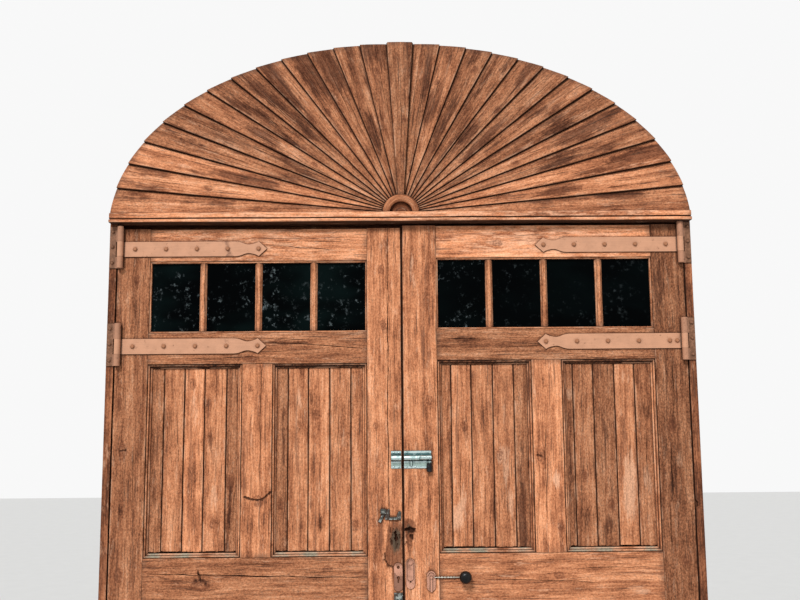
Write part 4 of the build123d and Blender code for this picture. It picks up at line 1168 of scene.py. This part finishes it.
def fan_board(piece, side, hand, number, bearings):
    """One tapered board of the head, numbered from the transom up."""
    first = number if side == LEFT else BOARD_COUNT - number
    lower, upper = bearings[first], bearings[first - side]
    centre = (lower + upper) / 2
    slope = math.tan(abs(upper - lower) / 2)
    out_way = np.array((math.cos(centre), 0, math.sin(centre)))
    up_way = side * np.array((-math.sin(centre), 0, math.cos(centre)))
    rim = float(rim_reach(centre))
    seed = seed_of(f"fan{hand}{number}")
    rng = np.random.default_rng(seed)

    def half_at(s):
        return s * slope - BOARD_GAP / 2

    def tilt(s, t):
        step = STEP_AT_HUB + (STEP_AT_RIM - STEP_AT_HUB) * (s - HUB_R) / (rim - HUB_R)
        half = half_at(s)
        return np.clip((half - t) / (2 * half), 0, 1) * step

    def to_rim(t):
        turn = np.arctan2(t, rim)
        return rim_reach(centre + side * turn) * np.cos(turn) - rim

    checks = random_checks(rng, (0.25, rim - 0.2), (-0.02, 0.02), 3)
    knot = (rng.uniform(0.3, 0.9) * rim, rng.uniform(-0.02, 0.02), rng.uniform(0.003, 0.007))
    # The first patch darkens the board towards the rim as painted shade; the four after it are stains
    stains = [(rim, 0.0, 0.10, 0.08, 0.35)]
    for _ in range(4):
        s, t = rng.uniform(0.35, 1) * rim, rng.uniform(-0.03, 0.03)
        stains.append((s, t, 0.08, 0.02, rng.uniform(0.3, 0.8)))
    # The boards' edges and sides carry painted shade in the laps, darkest along the upper edge under the
    # board above
    board(
        piece, (HUB, out_way, up_way, STREET), (HUB_R, rim), both_edges(half_at), thick=BOARD_THICK,
        seed=seed, start=hub_curve, end=to_rim, front=tilt, cracks=checks, knots=[knot], dark=stains,
        light=rng.uniform(-0.28, -0.08) + FOOT_LIGHT.get(number, 0), wander=0.0006, row_step=0.012,
        column_step=0.007, edge_shade=(0.75, 1.0), side_shade=1.0,
    )


def make_fan():
    bearings = rim_bearings()
    middle = BOARD_COUNT // 2
    for side, hand in HANDS:
        piece = Piece()
        for number in range(middle):
            fan_board(piece, side, hand, number, bearings)
        settle(piece, f"fan_boards_{hand}_wood", "head_boards", "frame", f"fan_boards_{hand}")

    slope = math.tan(math.pi / 2 - bearings[middle + 1])
    along = (HUB_R, ARCH_TOP - HUB_LEVEL)
    core_height = STEP_AT_RIM + BOARD_GAP
    taper = (CENTRE_HALF_RIM - CENTRE_HALF_HUB) / (along[1] + CENTRE_PAST_TOP - CENTRE_FOOT)

    def core_half(s):
        return slope * s - BOARD_GAP

    def centre_half(s):
        return CENTRE_HALF_HUB + taper * (s - CENTRE_FOOT)

    piece = Piece()
    board(
        piece, (HUB, Z, X, STREET), along, both_edges(core_half), thick=BOARD_THICK,
        seed=seed_of("core"), start=hub_curve, end=rim_curve,
        front=lambda s, t: np.full_like(s, core_height), light=-0.3,
    )
    board(
        piece, (HUB + (core_height + CENTRE_PROUD - BOARD_GAP) * STREET, Z, X, STREET), along,
        both_edges(centre_half), thick=CENTRE_PROUD, seed=seed_of("centre"), start=hub_curve,
        end=rim_curve, cracks=((0.15, 0.002, 0.52, 0.004, 0.0016, 0.003),),
        knots=((0.33, 0.012, 0.006),), light=-0.32, column_step=0.006,
    )
    settle(piece, "fan_centre_board_wood", "head_boards", "frame", "fan_centre_board")


def make_moulding():
    low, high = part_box("transom_moulding")
    tall = high.z - low.z
    lip, quirk, band = 0.035, 0.025, 0.030
    lip_top, quirk_top = 0.011, 0.015
    # Section of (across, height, painted shade): black under the lip and in the quirk
    section = [
        (0.0, 0.001, 1.0),
        (0.0002, lip - 0.006, 1.0),
        (0.0006, lip - 0.003, 0.7),
        (0.0014, lip - 0.0008, 0.1),
        (0.003, lip, 0.0),
        (lip_top - 0.003, lip, 0.0),
        (lip_top - 0.001, lip - 0.001, 0.0),
        (lip_top, lip - 0.003, 0.3),
        (lip_top + 0.0006, quirk, 0.9),
        (quirk_top - 0.0006, quirk, 0.9),
        (quirk_top, band - 0.0015, 0.5),
        (quirk_top + 0.0012, band - 0.0002, 0.0),
        (0.024, band, 0.0),
        (tall - 0.003, band, 0.0),
        (tall - 0.001, band - 0.0012, 0.0),
        (tall, band - 0.004, 0.3),
    ]
    piece = Piece()
    board(
        piece, lying(False, FRAME_FRONT, z=low.z), (low.x, high.x), None, thick=0.0,
        section=section, seed=seed_of("moulding"), light=0.4, pale=((0.0, tall / 2, 2.0, 0.2, 0.55),),
        wander=0.0007,
    )
    settle(piece, "transom_moulding_wood", "frame_timber", "frame", "transom_moulding")


DOME_RINGS = 4
DOME_AROUND = 16
DOME_CREASE = 35
SCREW_RADIUS = 0.0032
SCREW_HIGH = 0.0018


def dome(points, faces, centre, radius, high):
    """Adds a round head that rises towards the street."""
    first = len(points)
    for ring in range(DOME_RINGS):
        slope = math.pi / 2 * ring / DOME_RINGS
        for k in range(DOME_AROUND):
            turn = 2 * math.pi * k / DOME_AROUND
            reach = radius * math.cos(slope) * (Z * math.sin(turn) - X * math.cos(turn))
            points.append(centre + STREET * high * math.sin(slope) + reach)
    points.append(centre + STREET * high)
    for ring in range(DOME_RINGS):
        for k in range(DOME_AROUND):
            a = first + ring * DOME_AROUND + k
            b = first + ring * DOME_AROUND + (k + 1) % DOME_AROUND
            if ring < DOME_RINGS - 1:
                faces.append((a, b, b + DOME_AROUND, a + DOME_AROUND))
            else:
                faces.append((a, b, len(points) - 1))
    faces.append([first + k for k in reversed(range(DOME_AROUND))])


# Colours of the paint, what shows where it is worn, and rust
PINK_PAINT = (0.590, 0.300, 0.178)
PINK_WORN = (0.24, 0.11, 0.065)
OLD_PINK = (0.445, 0.218, 0.129)
PLATE_PINK = (0.580, 0.285, 0.190)
RUST = (0.120, 0.048, 0.027)
OLD_RUST = (0.160, 0.072, 0.036)
IRON_FILM = (0.055, 0.060, 0.052)
IRON_BRIGHT = (0.40, 0.43, 0.40)
IRON_RUST = (0.05, 0.025, 0.016)
# Bands on the bolt, as levels from and to, and colour: a painted reflection on the top of the tube, a
# painted shadow under it, and a duller film lower down
ZINC_REFLECTION_SHADOW_AND_FILM = (
    (1.464, 1.4715, (0.07, 0.15, 0.155)),
    (1.4455, 1.4492, (0.012, 0.02, 0.02)),
    (1.43, 1.44, (0.33, 0.43, 0.39)),
)
strap_paint = painted_iron("strap_paint", PINK_PAINT, PINK_WORN, RUST, wear=0.25, heads=-0.0452)
hinge_paint = painted_iron("old_hinge_paint", OLD_PINK, PINK_WORN, OLD_RUST, wear=0.7, plates=0.9725)
plate_paint = painted_iron("plate_paint", PLATE_PINK, PINK_WORN, RUST, wear=0.8, bare=(-0.003, 1.084))
old_iron = painted_iron("old_iron", IRON_FILM, IRON_BRIGHT, IRON_RUST, wear=1.5)
zinc = bare_metal("zinc", (0.56, 0.67, 0.66), (0.32, 0.44, 0.43), painted_light_and_film_bands=ZINC_REFLECTION_SHADOW_AND_FILM)
wire_metal = bare_metal("wire", (0.50, 0.49, 0.43), (0.34, 0.32, 0.26), 0.5)
black_grip = dark_gloss("black_grip", (0.006, 0.006, 0.007), (0.035, 0.040, 0.045))
black_knob = dark_gloss("black_knob", (0.004, 0.003, 0.003), (0.030, 0.022, 0.018), 0.25)
glass = pane_glass("pane")


def make_screws():
    """Domed screw heads on the plates of the bolt."""
    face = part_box("bolt_keep")[1].y - 0.002
    rows = (
        ("keep_screws", "left_leaf", ((-0.031, 1.474), (-0.013, 1.474), (-0.031, 1.427), (-0.013, 1.427))),
        ("housing_screws", "right_leaf", ((0.013, 1.474), (0.084, 1.474), (0.013, 1.427), (0.041, 1.427))),
    )
    for name, body, places in rows:
        points, faces = [], []
        for x, z in places:
            dome(points, faces, np.array((x, face, z)), SCREW_RADIUS, SCREW_HIGH)
        item = mesh_object(name, points, faces, DOME_CREASE)
        item.data.materials.append(zinc)
        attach(item, body)


def dress(nodes, material):
    """Gives CAD nodes that stay their material."""
    for name in nodes:
        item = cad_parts[name]
        item.data.materials.clear()
        item.data.materials.append(material)


def make_hardware():
    straps = [f"{hand}_strap_{k}" for _, hand in HANDS for k in ("top", "middle", "bottom")]
    dress(straps, strap_paint)
    dress(["left_strap_bolts", "right_strap_bolts"], strap_paint)
    dress(["left_jamb_hinges", "right_jamb_hinges"], hinge_paint)
    dress(["left_lock_plate", "right_lock_plate", "lock_cover", "pin_plate", "drop_pin"], plate_paint)
    dress(["lower_lock_plate", "old_latch"], old_iron)
    dress(["bolt_keep", "bolt_housing", "bolt_rod", "bolt_handle"], zinc)
    dress(["bolt_grip"], black_grip)
    dress(["pull_knob"], black_knob)
    dress(["pull_wire"], wire_metal)
    dress(["left_glass", "right_glass"], glass)
    dress(["left_jamb", "right_jamb"], UPRIGHT_TIMBER)
    dress(["transom"], LEVEL_TIMBER_SHADED)
    dress(["arch_rib"], ARCH_TIMBER)
    dress(["hub_ring"], HUB_TIMBER)
    dress(["hub_disc"], DISC_TIMBER)
    make_screws()


for side, hand in HANDS:
    for name in UPRIGHTS + RAILS:
        make_member(side, hand, name)
    for level in ("lower", "upper"):
        make_panels(side, hand, level)
    make_panel_mouldings(side, hand)
    make_glazing_bars(side, hand)
make_fan()
make_moulding()
make_hardware()


# The plain light: strengths, and degrees for the sun
SEEN_BY = ("Camera", "Glossy", "Transmission")
SKY_LIGHT = 0.38
SKY_SHOWN = 0.94
SUN_STRENGTH = 3.05
SUN_SOFTNESS = 16
SUN_TURN = (49, 0, -20)
FLOOR_SIZE = 30
FLOOR_LOWER = 0.0005


def make_floor():
    bpy.ops.mesh.primitive_plane_add(size=FLOOR_SIZE, location=(0, 0, -FLOOR_LOWER))
    floor = bpy.context.object
    floor.name = "floor"
    s = new_material("floor")
    grain = s.noise(s.place(), 7.0, 4.0)
    s.colour = s.mix(grain, (0.68, 0.68, 0.67), (0.73, 0.73, 0.72))
    floor.data.materials.append(s.surface(roughness=0.9, specular_ior_level=0.1))


def make_light():
    world = bpy.data.worlds.new("sky")
    bpy.context.scene.world = world
    s = Shader(world)
    path = s.add("LightPath").outputs
    camera, glossy, through = [Wire(s, path[f"Is {kind} Ray"]) for kind in SEEN_BY]
    seen = s.most(s.most(camera, glossy), through)
    skies = [s.out("Background", {0: (1, 1, 1, 1), 1: strength}) for strength in (SKY_LIGHT, SKY_SHOWN)]
    s.add("OutputWorld", {0: s.out("MixShader", {0: seen, 1: skies[0], 2: skies[1]})})

    lamp = bpy.data.lights.new("key", "SUN")
    lamp.energy = SUN_STRENGTH
    lamp.angle = math.radians(SUN_SOFTNESS)
    item = bpy.data.objects.new("key", lamp)
    item.rotation_euler = [math.radians(angle) for angle in SUN_TURN]
    bpy.context.scene.collection.objects.link(item)


# The camera at the photo's viewing angle: metres, radians and millimetres
CAMERA_PLACE = (-0.0370, -3.0765, 1.6042)
CAMERA_TURN = (0.01035, 0.12497, -0.00772)
LENS, SENSOR = 40.5, 36


def make_camera():
    yaw, pitch, roll = CAMERA_TURN
    data = bpy.data.cameras.new("camera")
    data.lens, data.sensor_width = LENS, SENSOR
    item = bpy.data.objects.new("camera", data)
    ahead = Vector((math.sin(yaw) * math.cos(pitch), math.cos(yaw) * math.cos(pitch), math.sin(pitch)))
    right = Vector((math.cos(yaw), -math.sin(yaw), 0))
    up = right.cross(ahead)
    turned_right = math.cos(roll) * right + math.sin(roll) * up
    turned_up = -math.sin(roll) * right + math.cos(roll) * up
    basis = Matrix((turned_right, turned_up, -ahead)).transposed().to_4x4()
    item.matrix_world = Matrix.Translation(CAMERA_PLACE) @ basis
    bpy.context.scene.collection.objects.link(item)
    bpy.context.scene.camera = item


make_floor()
make_light()
make_camera()
bpy.context.scene.view_settings.view_transform = "Standard"
